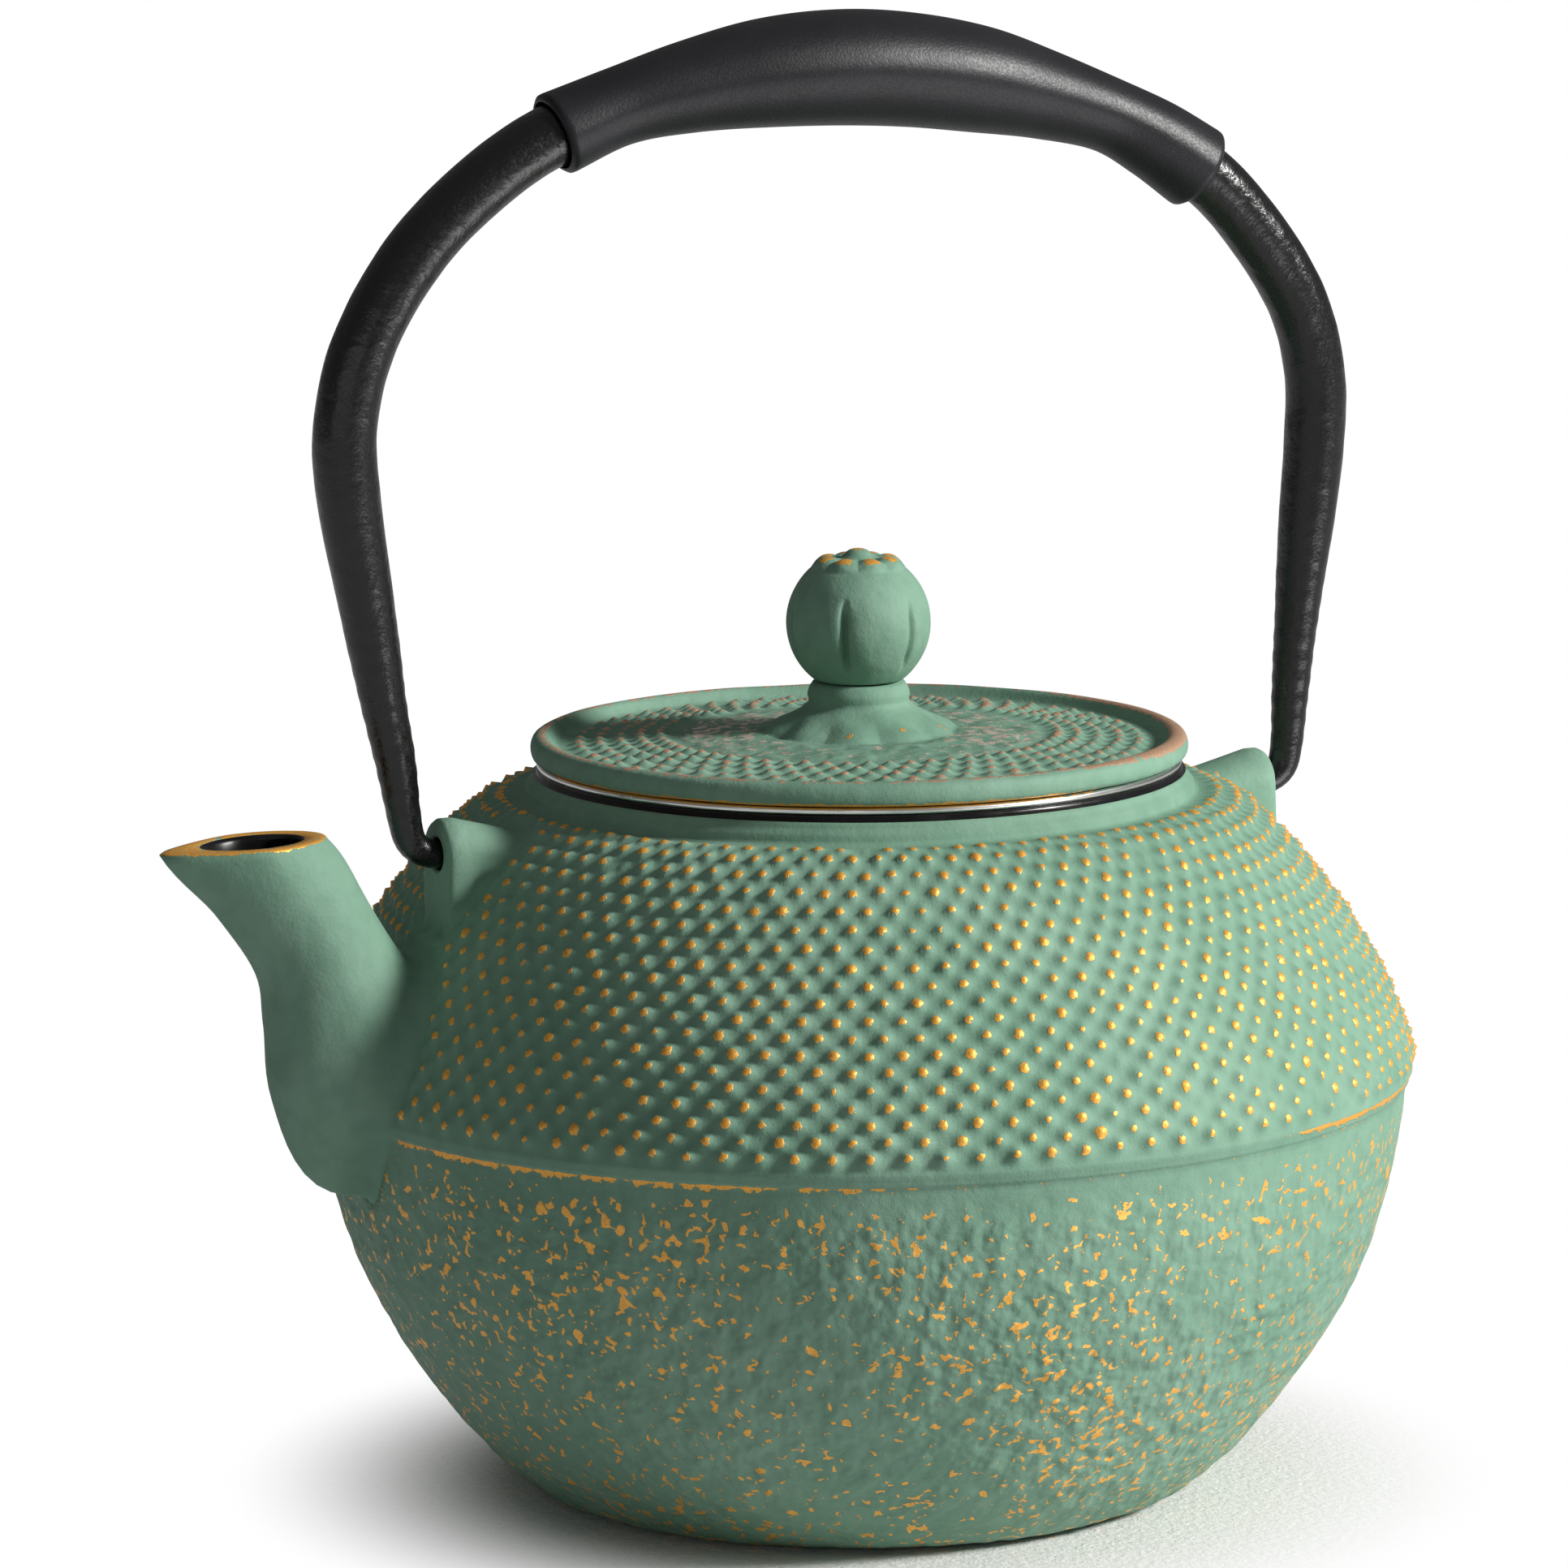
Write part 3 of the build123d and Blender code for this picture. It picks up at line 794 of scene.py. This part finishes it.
    # spout: fillet, outside, lip, bore
    ring_ids = [shell.add(q, rough=0.10) for q in spout_fillet]
    steps = 34
    for s in range(1, steps + 1):
        t = spout_off * (1 - s / steps)
        q = np.array([at(spout_lines[k], t[k]) for k in range(len(THETA))])
        if s == steps:
            q_rim = q
        q = q + 0.10 * noise(q, 9.0, 2.0)[:, None] * [1, 1, 0] * (s < steps)
        ring_ids.append(shell.add(q, rough=0.10, edge=0.62 if s == steps else 0.0))
    mouth_in = inner_tube[0]
    rim_up = q_rim * 0.93 + mouth_in * 0.07 + [0, 0, 0.28]
    rim_top = q_rim * 0.70 + mouth_in * 0.30 + [0, 0, 0.42]
    rim_in = q_rim * 0.14 + mouth_in * 0.86 + [0, 0, 0.30]
    outer_count = len(ring_ids)
    ring_ids += [shell.add(rim_up, rough=0.1, edge=1.15), shell.add(rim_top, edge=1.1),
                 shell.add(rim_in, edge=0.95), shell.add(mouth_in - [0, 0, 0.35])]
    for s in range(1, 25):
        t = bore_hit * s / 24
        q = np.array([at(bore_lines[k], max(t[k], 0.8)) for k in range(len(THETA))])
        ring_ids.append(shell.add(q))
    shell.bands(ring_ids[:outer_count + 3], PAINTED)
    shell.bands(ring_ids[outer_count + 2:], ENAMELLED)
    attach(ring_ids[0], -math.pi / 2, N_UNDER, N_COLLAR)
    attach(ring_ids[-1], -math.pi / 2, N_LIP, N_IN, flip=True)

    # lugs: fillet, edge, face, hinge hole
    for side, (lines, fillet, off) in lugs.items():
        ids = [shell.add(q, rough=0.08) for q in fillet]
        steps = 16
        for s in range(1, steps + 1):
            t = off * (1 - s / steps)
            q = np.array([at(lines[k], t[k]) for k in range(len(GAMMA))])
            ids.append(shell.add(q, rough=0.08, edge=0.0 if s < steps else 0.35))
        y, zz = np.sin(GAMMA) * side, np.cos(GAMMA)
        for deep, rad, wear in ((0.12, HOLE_R + 0.12, 0.75), (0.45, HOLE_R, 0.5),
                                (3.0, HOLE_R, 0.0), (HOLE_DEPTH, HOLE_R, 0.0)):
            x = np.full(len(GAMMA), side * (LUG_FACE - deep))
            ids.append(shell.add(np.stack([x, rad * y, HINGE_Z + rad * zz], 1), edge=wear))
        shell.bands(ids[:-2], PAINTED, flip=True)
        shell.bands(ids[-3:], ENAMELLED, flip=True)
        shell.fan(ids[-1], (side * (LUG_FACE - HOLE_DEPTH), 0, HINGE_Z), ENAMELLED, flip=True)
        attach(ids[0], side * math.pi / 2, N_UNDER, N_COLLAR)

    # the grid itself, without the dropped faces
    a, c = np.nonzero(~gone)
    n = (c + 1) % COLS
    q = np.stack([grid[a, c], grid[a, n], grid[a + 1, n], grid[a + 1, c]], 1)
    green = a < N_COLLAR - 1
    shell.quad(q[green], PAINTED)
    shell.quad(q[~green], ENAMELLED)
    shell.fan(grid[0], (0, 0, 0), PAINTED, flip=True)
    shell.fan(grid[-1], (0, 0, FLOOR_Z), ENAMELLED)
    mesh_piece("pot_casting", shell, [PAINT, ENAMEL], "pot", "painted_iron", "pot_body")


# --- lid
def build_lid():
    """Recessed lid: worn rim, five rings of small hobnails, rough middle, flared boss."""
    cols = 480
    psi = DOT_PHASE + circle(cols)
    low, top = lid_lo[2], lid_hi[2]
    edge_z = low + 5.1
    rim_z = edge_z + 3.35
    big = lid_hi[0]  # outer radius of the band
    under_pts = np.array([
        (1.8, top - 11.2), (8.0, top - 11.2), (35.2, low + 3.7), (35.2, low + 0.2),
        (35.4, low), (37.4, low), (37.6, low + 0.2), (37.6, low + 4.2),
        (44.0, low + 4.2), (44.6, edge_z), (big - 1.3, edge_z)])
    band = catmull(np.array([
        (-0.85, 0.0), (-0.25, 0.35), (0.0, 1.2), (-0.1, 2.2), (-0.6, 3.0), (-1.6, 3.35),
        (-2.5, 3.15), (-3.2, 2.5), (-4.0, 1.85), (-5.2, 1.67)]) + (big, edge_z), 24)
    plate = catmull(np.array([
        (41.5, -1.68), (36.0, -1.3), (28.0, -0.6), (20.0, -0.05), (14.2, 0.18)]) + (0, rim_z), 72)
    boss = catmull(np.array([
        (13.8, 0.22), (12.8, 0.9), (11.2, 1.75), (9.5, 2.7), (8.0, 3.6), (7.2, 4.5),
        (7.4, 5.4), (7.1, 6.5), (6.6, top - rim_z)]) + (0, rim_z), 22)
    crown = np.array([(4.0, top), (1.8, top)])
    line = np.vstack([under_pts, band, plate, boss, crown])
    n0, n1 = len(under_pts), len(under_pts) + len(band)
    n2, n3 = n1 + len(plate), n1 + len(plate) + len(boss)
    rings = len(line)
    r, z, ps, flat, normal = lathe(line, psi)
    push, tip, edge, fleck = np.zeros((4, rings, cols))
    rough = np.full((rings, cols), 0.12)
    rng = np.random.default_rng(5)
    zone = slice(n1, n2)
    rr, pp = r[zone], ps[zone]
    dots = 60  # hobnails in each ring
    for k, rad in enumerate((40.1, 37.2, 34.2, 31.3, 28.5)):
        ph = DOT_PHASE + (k % 2) * math.pi / dots
        turn = (pp - ph) / (2 * math.pi / dots)
        near = np.round(turn)
        which = near.astype(int) % dots
        hgt = (1 + rng.normal(0, 0.08, dots))[which]
        gild = rng.normal(0, 0.09, dots)[which]
        dist = np.hypot((turn - near) * (2 * math.pi / dots) * rad, rr - rad)
        push[zone] += 0.85 * hgt * np.exp(-(dist / 1.0)**1.8)
        tip[zone] = np.maximum(tip[zone], 1 - dist / 1.30 + gild)
    middle = smooth(27.0, 24.5, rr) * smooth(13.5, 16.5, rr)
    ripple = noise(flat[zone] * [1, 1, 0], 2.3, 4.0)
    push[zone] += middle * 0.22 * ripple + (1 - middle) * 0.05 * noise(flat[zone], 3.0)
    sides = 0.5 + 0.5 * np.cos(2 * (pp + TURN) - math.pi)
    fleck[zone] = middle * (0.50 + 0.75 * sides + 0.35 * noise(flat[zone], 9.0, 2.0))
    rough[zone] = 0.10 + 0.45 * middle
    # the boss stands on small lumps with dimples between them
    bz = slice(n2, n3)
    t = (z[bz] - rim_z) / 6.0
    lobes = 0.5 + 0.5 * np.cos(10 * (ps[bz] + TURN + 0.07))
    skirt = smooth(0.50, 0.18, t)
    push[bz] += skirt * (0.70 * lobes**0.7 - 0.45) + 0.14 * noise(flat[bz], 3.2, 1.0)
    edge[bz] = skirt * smooth(0.75, 1.0, lobes) * smooth(0.0, 0.12, t) * 0.62
    rim = slice(n0, n1)
    hgt = z[rim] - edge_z
    view = seen_from(ps[rim])
    worn = smooth(35.0, 75.0, view) * smooth(150.0, 110.0, view)
    crest = smooth(2.95 - 1.0 * worn, 3.3 - 0.6 * worn, hgt) * smooth(big - 3.4, big - 2.3, r[rim])
    edge[rim] = crest * (0.84 + 0.36 * worn)
    lower = smooth(-85.0, -60.0, view[0]) * smooth(60.0, 25.0, view[0])
    edge[n0 - 1:n0 + 1] = 0.4 + 0.8 * lower
    edge[n0 + 1] = 0.3 + 0.8 * lower
    edge[n0 + 2] = 0.75 * lower
    push[rim] += 0.07 * noise(flat[rim], 9.0, 5.0)
    edge[n3 - 1] = 0.45
    shell = Shell(PAINT_VALUES)
    co = flat + push[..., None] * normal
    grid = shell.add(co, tip=tip, edge=edge, fleck=fleck, rough=rough).reshape(rings, cols)
    gilt = 2  # the yellow gold of the pot, on the lid's outer parts
    for k in range(rings):
        slot = ENAMELLED if k < n0 - 2 else gilt if k < n0 + 5 or k > n2 else PAINTED
        shell.band(grid[k], grid[(k + 1) % rings], slot)
    mesh_piece("lid_casting", shell, [LID_PAINT, ENAMEL, PAINT], "lid", "painted_iron", "lid")


# --- knob
def build_knob():
    """Ball knob with six upright creases and a small flower on top."""
    cols = 288
    psi = -TURN + circle(cols)
    z0 = knob_lo[2]
    mid, big = z0 + 8.5, knob_hi[0]
    under_k = np.array([(1.5, z0), (4.4, z0), (4.5, z0 + 0.35), (5.5, z0 + 0.35)])
    rise = np.radians(np.linspace(-52.5, 47.5, 46))
    ball = np.stack([big * np.cos(rise), mid + big * np.sin(rise)], 1)
    flower = catmull(np.array([
        (6.85, 16.25), (6.55, 16.75), (6.1, 17.25), (5.3, 17.8), (4.2, 17.95), (3.1, 17.75),
        (2.4, 17.95), (1.5, 18.75), (0.9, 19.02), (0.3, 19.12)]) + (0, z0), 30)
    line = np.vstack([under_k, ball, flower])
    n0, n1 = len(under_k), len(under_k) + len(ball)
    rings = len(line)
    r, z, ps, flat, normal = lathe(line, psi)
    push, edge = np.zeros((2, rings, cols))
    b = slice(n0, n1)
    step = math.pi / 3  # six creases
    phase = (ps[b] + TURN + math.radians(11.7)) / step
    off = np.abs(phase - np.round(phase)) * step * r[b]
    bend = smooth(z0 + 1.4, z0 + 4.2, z[b]) * smooth(z0 + 13.6, z0 + 9.5, z[b])
    deep = np.array([1.0, 0.5, 0.8, 0.9, 0.7, 0.6])[np.round(phase).astype(int) % 6]
    push[b] = -deep * bend * (1.30 * np.exp(-(off / 0.45)**2) + 0.35 * np.exp(-(off / 1.5)**2))
    push[b] += 0.07 * noise(flat[b], 3.4, 8.0)
    f = slice(n1, rings)
    petal = 0.5 + 0.5 * np.cos(8 * (ps[f] + TURN) - math.pi)  # eight petals
    ring_zone = smooth(2.4, 3.4, r[f]) * smooth(6.9, 6.2, r[f])
    push[f] = ring_zone * (0.50 * petal**0.6 - 0.36)
    spot = smooth(3.5, 4.1, r[f]) * smooth(6.2, 5.7, r[f])
    edge[f] = spot * smooth(0.30, 0.55, petal) * 1.2 + smooth(1.6, 0.9, r[f]) * 1.1
    shell = Shell(PAINT_VALUES)
    grid = shell.add(flat + push[..., None] * normal, edge=edge, rough=0.16).reshape(rings, cols)
    shell.bands(grid)
    shell.fan(grid[-1], (0, 0, line[-1, 1] + 0.01), edge=1.1)
    # blind hole for the rivet
    hole_top = z0 + 7.7
    hole = shell.add(on_body(psi, np.full(cols, 1.5), np.full(cols, hole_top)))
    shell.band(hole, grid[0])
    shell.fan(hole, (0, 0, hole_top), flip=True)
    mesh_piece("knob_ball", shell, [PAINT], "knob", "painted_iron", "lid_knob")


# --- handle
BAIL = np.array([  # centre x, centre z and radius along the rod
    (-60.5, 96.6, 2.0), (-64.0, 96.6, 2.0), (-67.2, 96.7, 2.0), (-70.0, 98.6, 2.2), (-71.1, 102.8, 2.4),
    (-72.2, 110.0, 2.8), (-74.2, 120.4, 3.3), (-76.5, 134.2, 4.0), (-78.7, 148.0, 4.45),
    (-78.9, 158.1, 4.45), (-76.2, 168.1, 4.45), (-70.4, 177.9, 4.45), (-61.4, 187.2, 4.45),
    (-47.0, 196.3, 4.45), (-26.0, 202.4, 4.45), (-2.0, 204.0, 4.45), (20.0, 201.9, 4.45),
    (40.4, 195.6, 4.45), (55.4, 187.1, 4.45), (64.5, 178.2, 4.45), (71.9, 167.2, 4.45),
    (74.9, 156.3, 4.45), (74.8, 145.5, 4.45), (73.4, 133.0, 4.0), (71.9, 119.6, 3.2),
    (70.9, 108.5, 2.7), (70.5, 102.6, 2.4), (69.6, 98.5, 2.2), (67.2, 96.7, 2.0), (64.0, 96.6, 2.0),
    (60.5, 96.6, 2.0)])
GRIP = np.array([  # the same for the outside of the sleeve
    (-47.0, 196.3, 5.95), (-36.8, 199.9, 5.55), (-26.0, 202.2, 6.5), (-14.0, 203.7, 7.7),
    (-2.0, 204.0, 8.2), (9.0, 203.2, 8.1), (20.0, 201.4, 7.6), (30.4, 198.8, 6.4),
    (40.4, 195.6, 5.45), (48.2, 191.7, 5.85), (55.4, 187.1, 6.3)])


def frames(line):
    """In-plane unit normal along a run of x, z points."""
    t = unit(np.gradient(line[:, :2], axis=0))
    return np.stack([-t[:, 1], t[:, 0]], 1)


def rod_ring(x, z, normal, radius, turn):
    """A ring round the point x, z at right angles to the run."""
    c, s = np.cos(turn), np.sin(turn)
    return np.stack([x + normal[0] * radius * c, radius * s, z + normal[1] * radius * c], 1)


def build_bail():
    """Hammered rod from hook to hook."""
    line = catmull(BAIL, 420)
    nrm = frames(line)
    turn = -circle(36)
    shell = Shell(["edge"])
    ids = []
    for (x, z, rad), n in zip(line, nrm):
        ring = rod_ring(x, z, n, np.full(36, rad), turn)
        mid = np.array([x, 0, z])
        shake = 0.07 * noise(ring, 7.0, 3.0) + 0.035 * noise(ring, 2.4, 1.0)
        swage = 0.05 * math.sin(z * 2.1) * float(smooth(140.0, 112.0, z) * smooth(99.0, 104.0, z))
        shake = (shake + swage) * float(smooth(66.5, 70.0, abs(x)) if z < 100 else 1.0)
        ids.append(shell.add(ring + (ring - mid) / rad * shake[:, None]))
    shell.bands(ids)
    for k, flip in ((0, True), (-1, False)):
        shell.fan(ids[k], (line[k, 0], 0, line[k, 1]), flip=flip)
    mesh_piece("bail_rod", shell, [ROD], "handle", "black_bail", "handle_bail", crease=50)


def build_grip():
    """Hollow sleeve with rounded ends and a belly."""
    line = catmull(GRIP, 200)
    nrm = frames(line)
    turn = -circle(72)
    shell = Shell(["edge"])
    # pressed in two halves: a soft crest runs along each side
    crest = 1 + 0.020 * np.exp(-(np.abs(np.abs(np.sin(turn)) - 1) / 0.02)**1.0)
    run = arc_length(line)
    outer, inner = [], []
    for k, ((x, z, rad), n) in enumerate(zip(line, nrm)):
        end = min(run[k], run[-1] - run[k])
        lip = 0.9 * (1 - math.sqrt(max(0.0, 1 - (1 - min(end / 0.9, 1.0))**2)))
        outer.append(shell.add(rod_ring(x, z, n, (rad - 0.7 * lip) * crest, turn)))
        bore = max(rad - 1.0, 4.55) if end > 0.5 else rad - 0.95
        inner.append(shell.add(rod_ring(x, z, n, np.full(72, bore), turn)))
    shell.bands(outer)
    shell.bands(inner, flip=True)
    shell.band(inner[0], outer[0])
    shell.band(outer[-1], inner[-1])
    mesh_piece("grip_sleeve", shell, [SLEEVE], "handle", "black_grip", "handle_grip", crease=55)


# --- strainer
def perforated(name, place, nu, nv, hole, node):
    """A thin sheet of nu x nv cells with an eight-sided hole in each.

    place(u, v, side) maps sheet coordinates to space; side is 0 inside, 1 outside."""
    shell = Shell(["edge"])
    us, vs = np.arange(nu), np.arange(nv + 1)
    corner, rim = [], []
    angle = np.arange(8) * math.pi / 4 + math.pi / 8
    for side in (0, 1):
        gu, gv = np.meshgrid(us, vs, indexing="ij")
        corner.append(shell.add(place(gu.ravel(), gv.ravel(), side)).reshape(gu.shape))
        cu, cv = np.meshgrid(np.arange(nu) + 0.5, np.arange(nv) + 0.5, indexing="ij")
        hu = cu[..., None] + hole * np.cos(angle)
        hv = cv[..., None] + hole * np.sin(angle)
        rim.append(shell.add(place(hu.ravel(), hv.ravel(), side)).reshape(nu, nv, 8))
    i, j = np.meshgrid(np.arange(nu), np.arange(nv), indexing="ij")
    n = (i + 1) % nu
    for side in (0, 1):
        c, h = corner[side], rim[side]
        box_ = [c[n, j + 1], c[i, j + 1], c[i, j], c[n, j]]  # matches rim angles 22.5 + 90k
        for k in range(4):
            q = np.stack([box_[k - 1], box_[k], h[..., 2 * k], h[..., (2 * k - 1) % 8]], -1)
            q = q.reshape(-1, 4)
            t = np.stack([box_[k], h[..., 2 * k + 1], h[..., 2 * k]], -1).reshape(-1, 3)
            shell.quad(q if side else q[:, ::-1])
            shell.tri(t if side else t[:, ::-1])
    for k in range(8):
        m = (k + 1) % 8
        shell.quad(np.stack([rim[1][..., k], rim[1][..., m], rim[0][..., m], rim[0][..., k]], -1))
    for row, flip in ((0, False), (nv, True)):
        a, b = corner[0][:, row], corner[1][:, row]
        shell.band(*((b, a) if flip else (a, b)))
    mesh_piece(name, shell, [STEEL], "strainer", "steel", node)


def build_strainer():
    """Perforated wall and base of the basket."""
    lo, hi = (np.array(v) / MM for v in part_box("strainer_wall"))
    radius, thick, hub, hole = hi[0], 0.5, 3.0, 0.30
    nu, nv = 160, 32  # holes round and up the wall
    mu, mv = 72, 20  # holes round and across the base

    def wall(u, v, side):
        a = -u * 2 * math.pi / nu
        r = radius - thick * (1 - side)
        return np.stack([r * np.cos(a), r * np.sin(a), lo[2] + v / nv * (hi[2] - lo[2])], -1)

    def base(u, v, side):
        a = u * 2 * math.pi / mu
        r = hub + (radius - thick - hub) * v / mv
        z = np.full(np.shape(r), lo[2] + thick * side)
        return np.stack([r * np.cos(a), r * np.sin(a), z], -1)

    perforated("strainer_mesh_wall", wall, nu, nv, hole, "strainer_wall")
    perforated("strainer_mesh_base", base, mu, mv, hole, "strainer_base")


def build_rim():
    """Rolled steel rim: collar, flange and a round bead at its edge."""
    turn = circle(360)
    arc = np.radians(np.linspace(-90, 150, 13))
    bead = [(45.72 + 0.55 * math.cos(v), MOUTH_TOP + 0.55 + 0.55 * math.sin(v)) for v in arc]
    profile = [(38.6, 93.0), (39.1, 93.0), (39.1, 103.4), (39.4, 104.1), (40.1, MOUTH_TOP),
               (44.0, MOUTH_TOP), *bead, (44.9, MOUTH_TOP + 0.4), (40.0, MOUTH_TOP + 0.4),
               (39.1, 104.45), (38.6, 103.4)]
    shell = Shell(["edge"])
    ids = [shell.add(np.stack([r * np.cos(turn), r * np.sin(turn), 0 * turn + z], 1))
           for r, z in profile]
    shell.bands(ids + ids[:1])
    mesh_piece("strainer_bead_rim", shell, [STEEL], "strainer", "steel", "strainer_rim", crease=40)


build_pot()
build_lid()
build_knob()
build_bail()
build_grip()
build_strainer()
build_rim()

for node in ("knob_rivet", "knob_washer", "strainer_foot"):
    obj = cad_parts[node]
    obj.data.materials.clear()
    obj.data.materials.append(STEEL)


# --- floor, light and camera
def floor_material():
    """Pale woven paper that fades into the white backdrop away from the pot."""
    n = Nodes("pale_table")
    weave = n.noise(700.0, 2.0, 0.6)
    grain = n.noise(1600.0, 2.0, 0.6)
    length = n.t.nodes.new("ShaderNodeVectorMath")
    length.operation = "LENGTH"
    n.put(length.inputs[0], n.obj)
    return n.set(
        Base_Color=n.mix(n.ramp(weave, 0.3, 0.7), (0.76, 0.76, 0.75), (0.84, 0.84, 0.835)),
        Roughness=0.85,
        Alpha=n.ramp(length.outputs["Value"], 0.050, 0.094, 1.0, 0.0),
        Normal=n.bump(n.blend((weave, 1.0), (grain, 0.5)), 0.0006, 0.5),
    )


me = bpy.data.meshes.new("table_top")
HALF = 0.4
corners = [(-HALF, -HALF, 0), (HALF, -HALF, 0), (HALF, HALF, 0), (-HALF, HALF, 0)]
me.from_pydata(corners, [], [(0, 1, 2, 3)])
me.materials.append(floor_material())
table = bpy.data.objects.new("table_top", me)
scene.collection.objects.link(table)

# camera, placed in the viewer's frame: x to the right, y away from the viewer, z up
DISTANCE, HEIGHT, LENS = 1.112004, 0.284258, 180.408
pan, tilt, roll = -0.0097, 0.1630121, -0.0071402


def turned(v):
    """From the viewer's frame to the part's."""
    c, s = math.cos(TURN), math.sin(TURN)
    return np.array([v[0] * c + v[1] * s, -v[0] * s + v[1] * c, v[2]])


forward = np.array([math.sin(pan) * math.cos(tilt), math.cos(pan) * math.cos(tilt), -math.sin(tilt)])
right = np.array([math.cos(pan), -math.sin(pan), 0.0])
up = np.cross(right, forward)
right, up = (math.cos(roll) * right + math.sin(roll) * up,
             -math.sin(roll) * right + math.cos(roll) * up)
eye = turned((0.0, -DISTANCE, HEIGHT))
cam_data = bpy.data.cameras.new("camera")
cam = bpy.data.objects.new("camera", cam_data)
scene.collection.objects.link(cam)
axes = [turned(right), turned(up), -turned(forward)]
cam.matrix_world = Matrix([[*(a[i] for a in axes), eye[i]] for i in range(3)] + [[0, 0, 0, 1]])
cam_data.sensor_width = 36.0
cam_data.lens = LENS
cam_data.clip_start = 0.05
cam_data.clip_end = 60.0
scene.camera = cam


def area_light(name, place, aim, size, power, colour=(1, 1, 1)):
    """place and aim are metres in the viewer's frame."""
    data = bpy.data.lights.new(name, "AREA")
    data.shape = "RECTANGLE"
    data.size, data.size_y = size
    data.energy = power
    data.color = colour
    lamp = bpy.data.objects.new(name, data)
    p, q = turned(place), turned(aim)
    z = unit(p - q)
    x = unit(np.cross((0, 0, 1.0), z))
    y = np.cross(z, x)
    lamp.matrix_world = Matrix([[x[i], y[i], z[i], p[i]] for i in range(3)] + [[0, 0, 0, 1]])
    scene.collection.objects.link(lamp)


area_light("key", (1.38, -0.37, 0.81), (0.0, 0.0, 0.08), (0.3, 0.3), 34.5, (1.0, 0.99, 0.97))
area_light("table_bounce", (0.95, -0.48, -0.50), (0.0, 0.0, 0.05), (0.8, 0.6), 4.5)
area_light("front_strip", (-0.6, -2.0, 0.55), (0.0, 0.0, 0.1), (2.2, 0.5), 2.2)

world = bpy.data.worlds.new("studio")
scene.world = world
world.use_nodes = True
wt = world.node_tree
wire = wt.links.new
wt.nodes.clear()
w_out, w_mix, w_seen, w_light, w_path, w_dir, w_axes, w_half, w_polish = (
    wt.nodes.new("ShaderNode" + kind) for kind in (
        "OutputWorld", "MixShader", "Background", "Background", "LightPath", "TexCoord",
        "SeparateXYZ", "Math", "Mix"))
w_seen.inputs["Color"].default_value = (1, 1, 1, 1)
w_half.operation = "MULTIPLY_ADD"
w_half.inputs[1].default_value = 0.5
w_half.inputs[2].default_value = 0.5
wire(w_dir.outputs["Generated"], w_axes.inputs[0])
wire(w_axes.outputs["Z"], w_half.inputs[0])


def grey_by_height(*stops):
    """Grey level by direction: place 0 is straight down, 0.5 the horizon, 1 straight up."""
    ramp = wt.nodes.new("ShaderNodeValToRGB")
    wire(w_half.outputs[0], ramp.inputs[0])
    marks = ramp.color_ramp.elements
    for place, _ in stops[1:-1]:
        marks.new(place)
    for mark, (_, level) in zip(marks, stops):
        mark.color = (level, level, level, 1)
    return ramp.outputs["Color"]


# light from the room: bright from the table, dim at eye level, soft from above
w_ramp = grey_by_height((0.0, 0.38), (0.40, 0.32), (0.52, 0.08), (0.70, 0.09), (1.0, 0.20))
# polished and gilt surfaces see a bright table and a dim room
w_gloss = grey_by_height((0.0, 0.58), (0.44, 0.46), (0.53, 0.13), (1.0, 0.15))
w_polish.data_type = "RGBA"
wire(w_path.outputs["Is Glossy Ray"], w_polish.inputs["Factor"])
wire(w_ramp, w_polish.inputs["A"])
wire(w_gloss, w_polish.inputs["B"])
wire(w_polish.outputs["Result"], w_light.inputs["Color"])
wire(w_path.outputs["Is Camera Ray"], w_mix.inputs[0])
wire(w_light.outputs[0], w_mix.inputs[1])
wire(w_seen.outputs[0], w_mix.inputs[2])
wire(w_mix.outputs[0], w_out.inputs[0])
scene.view_settings.view_transform = "Standard"
scene.view_settings.look = "None"
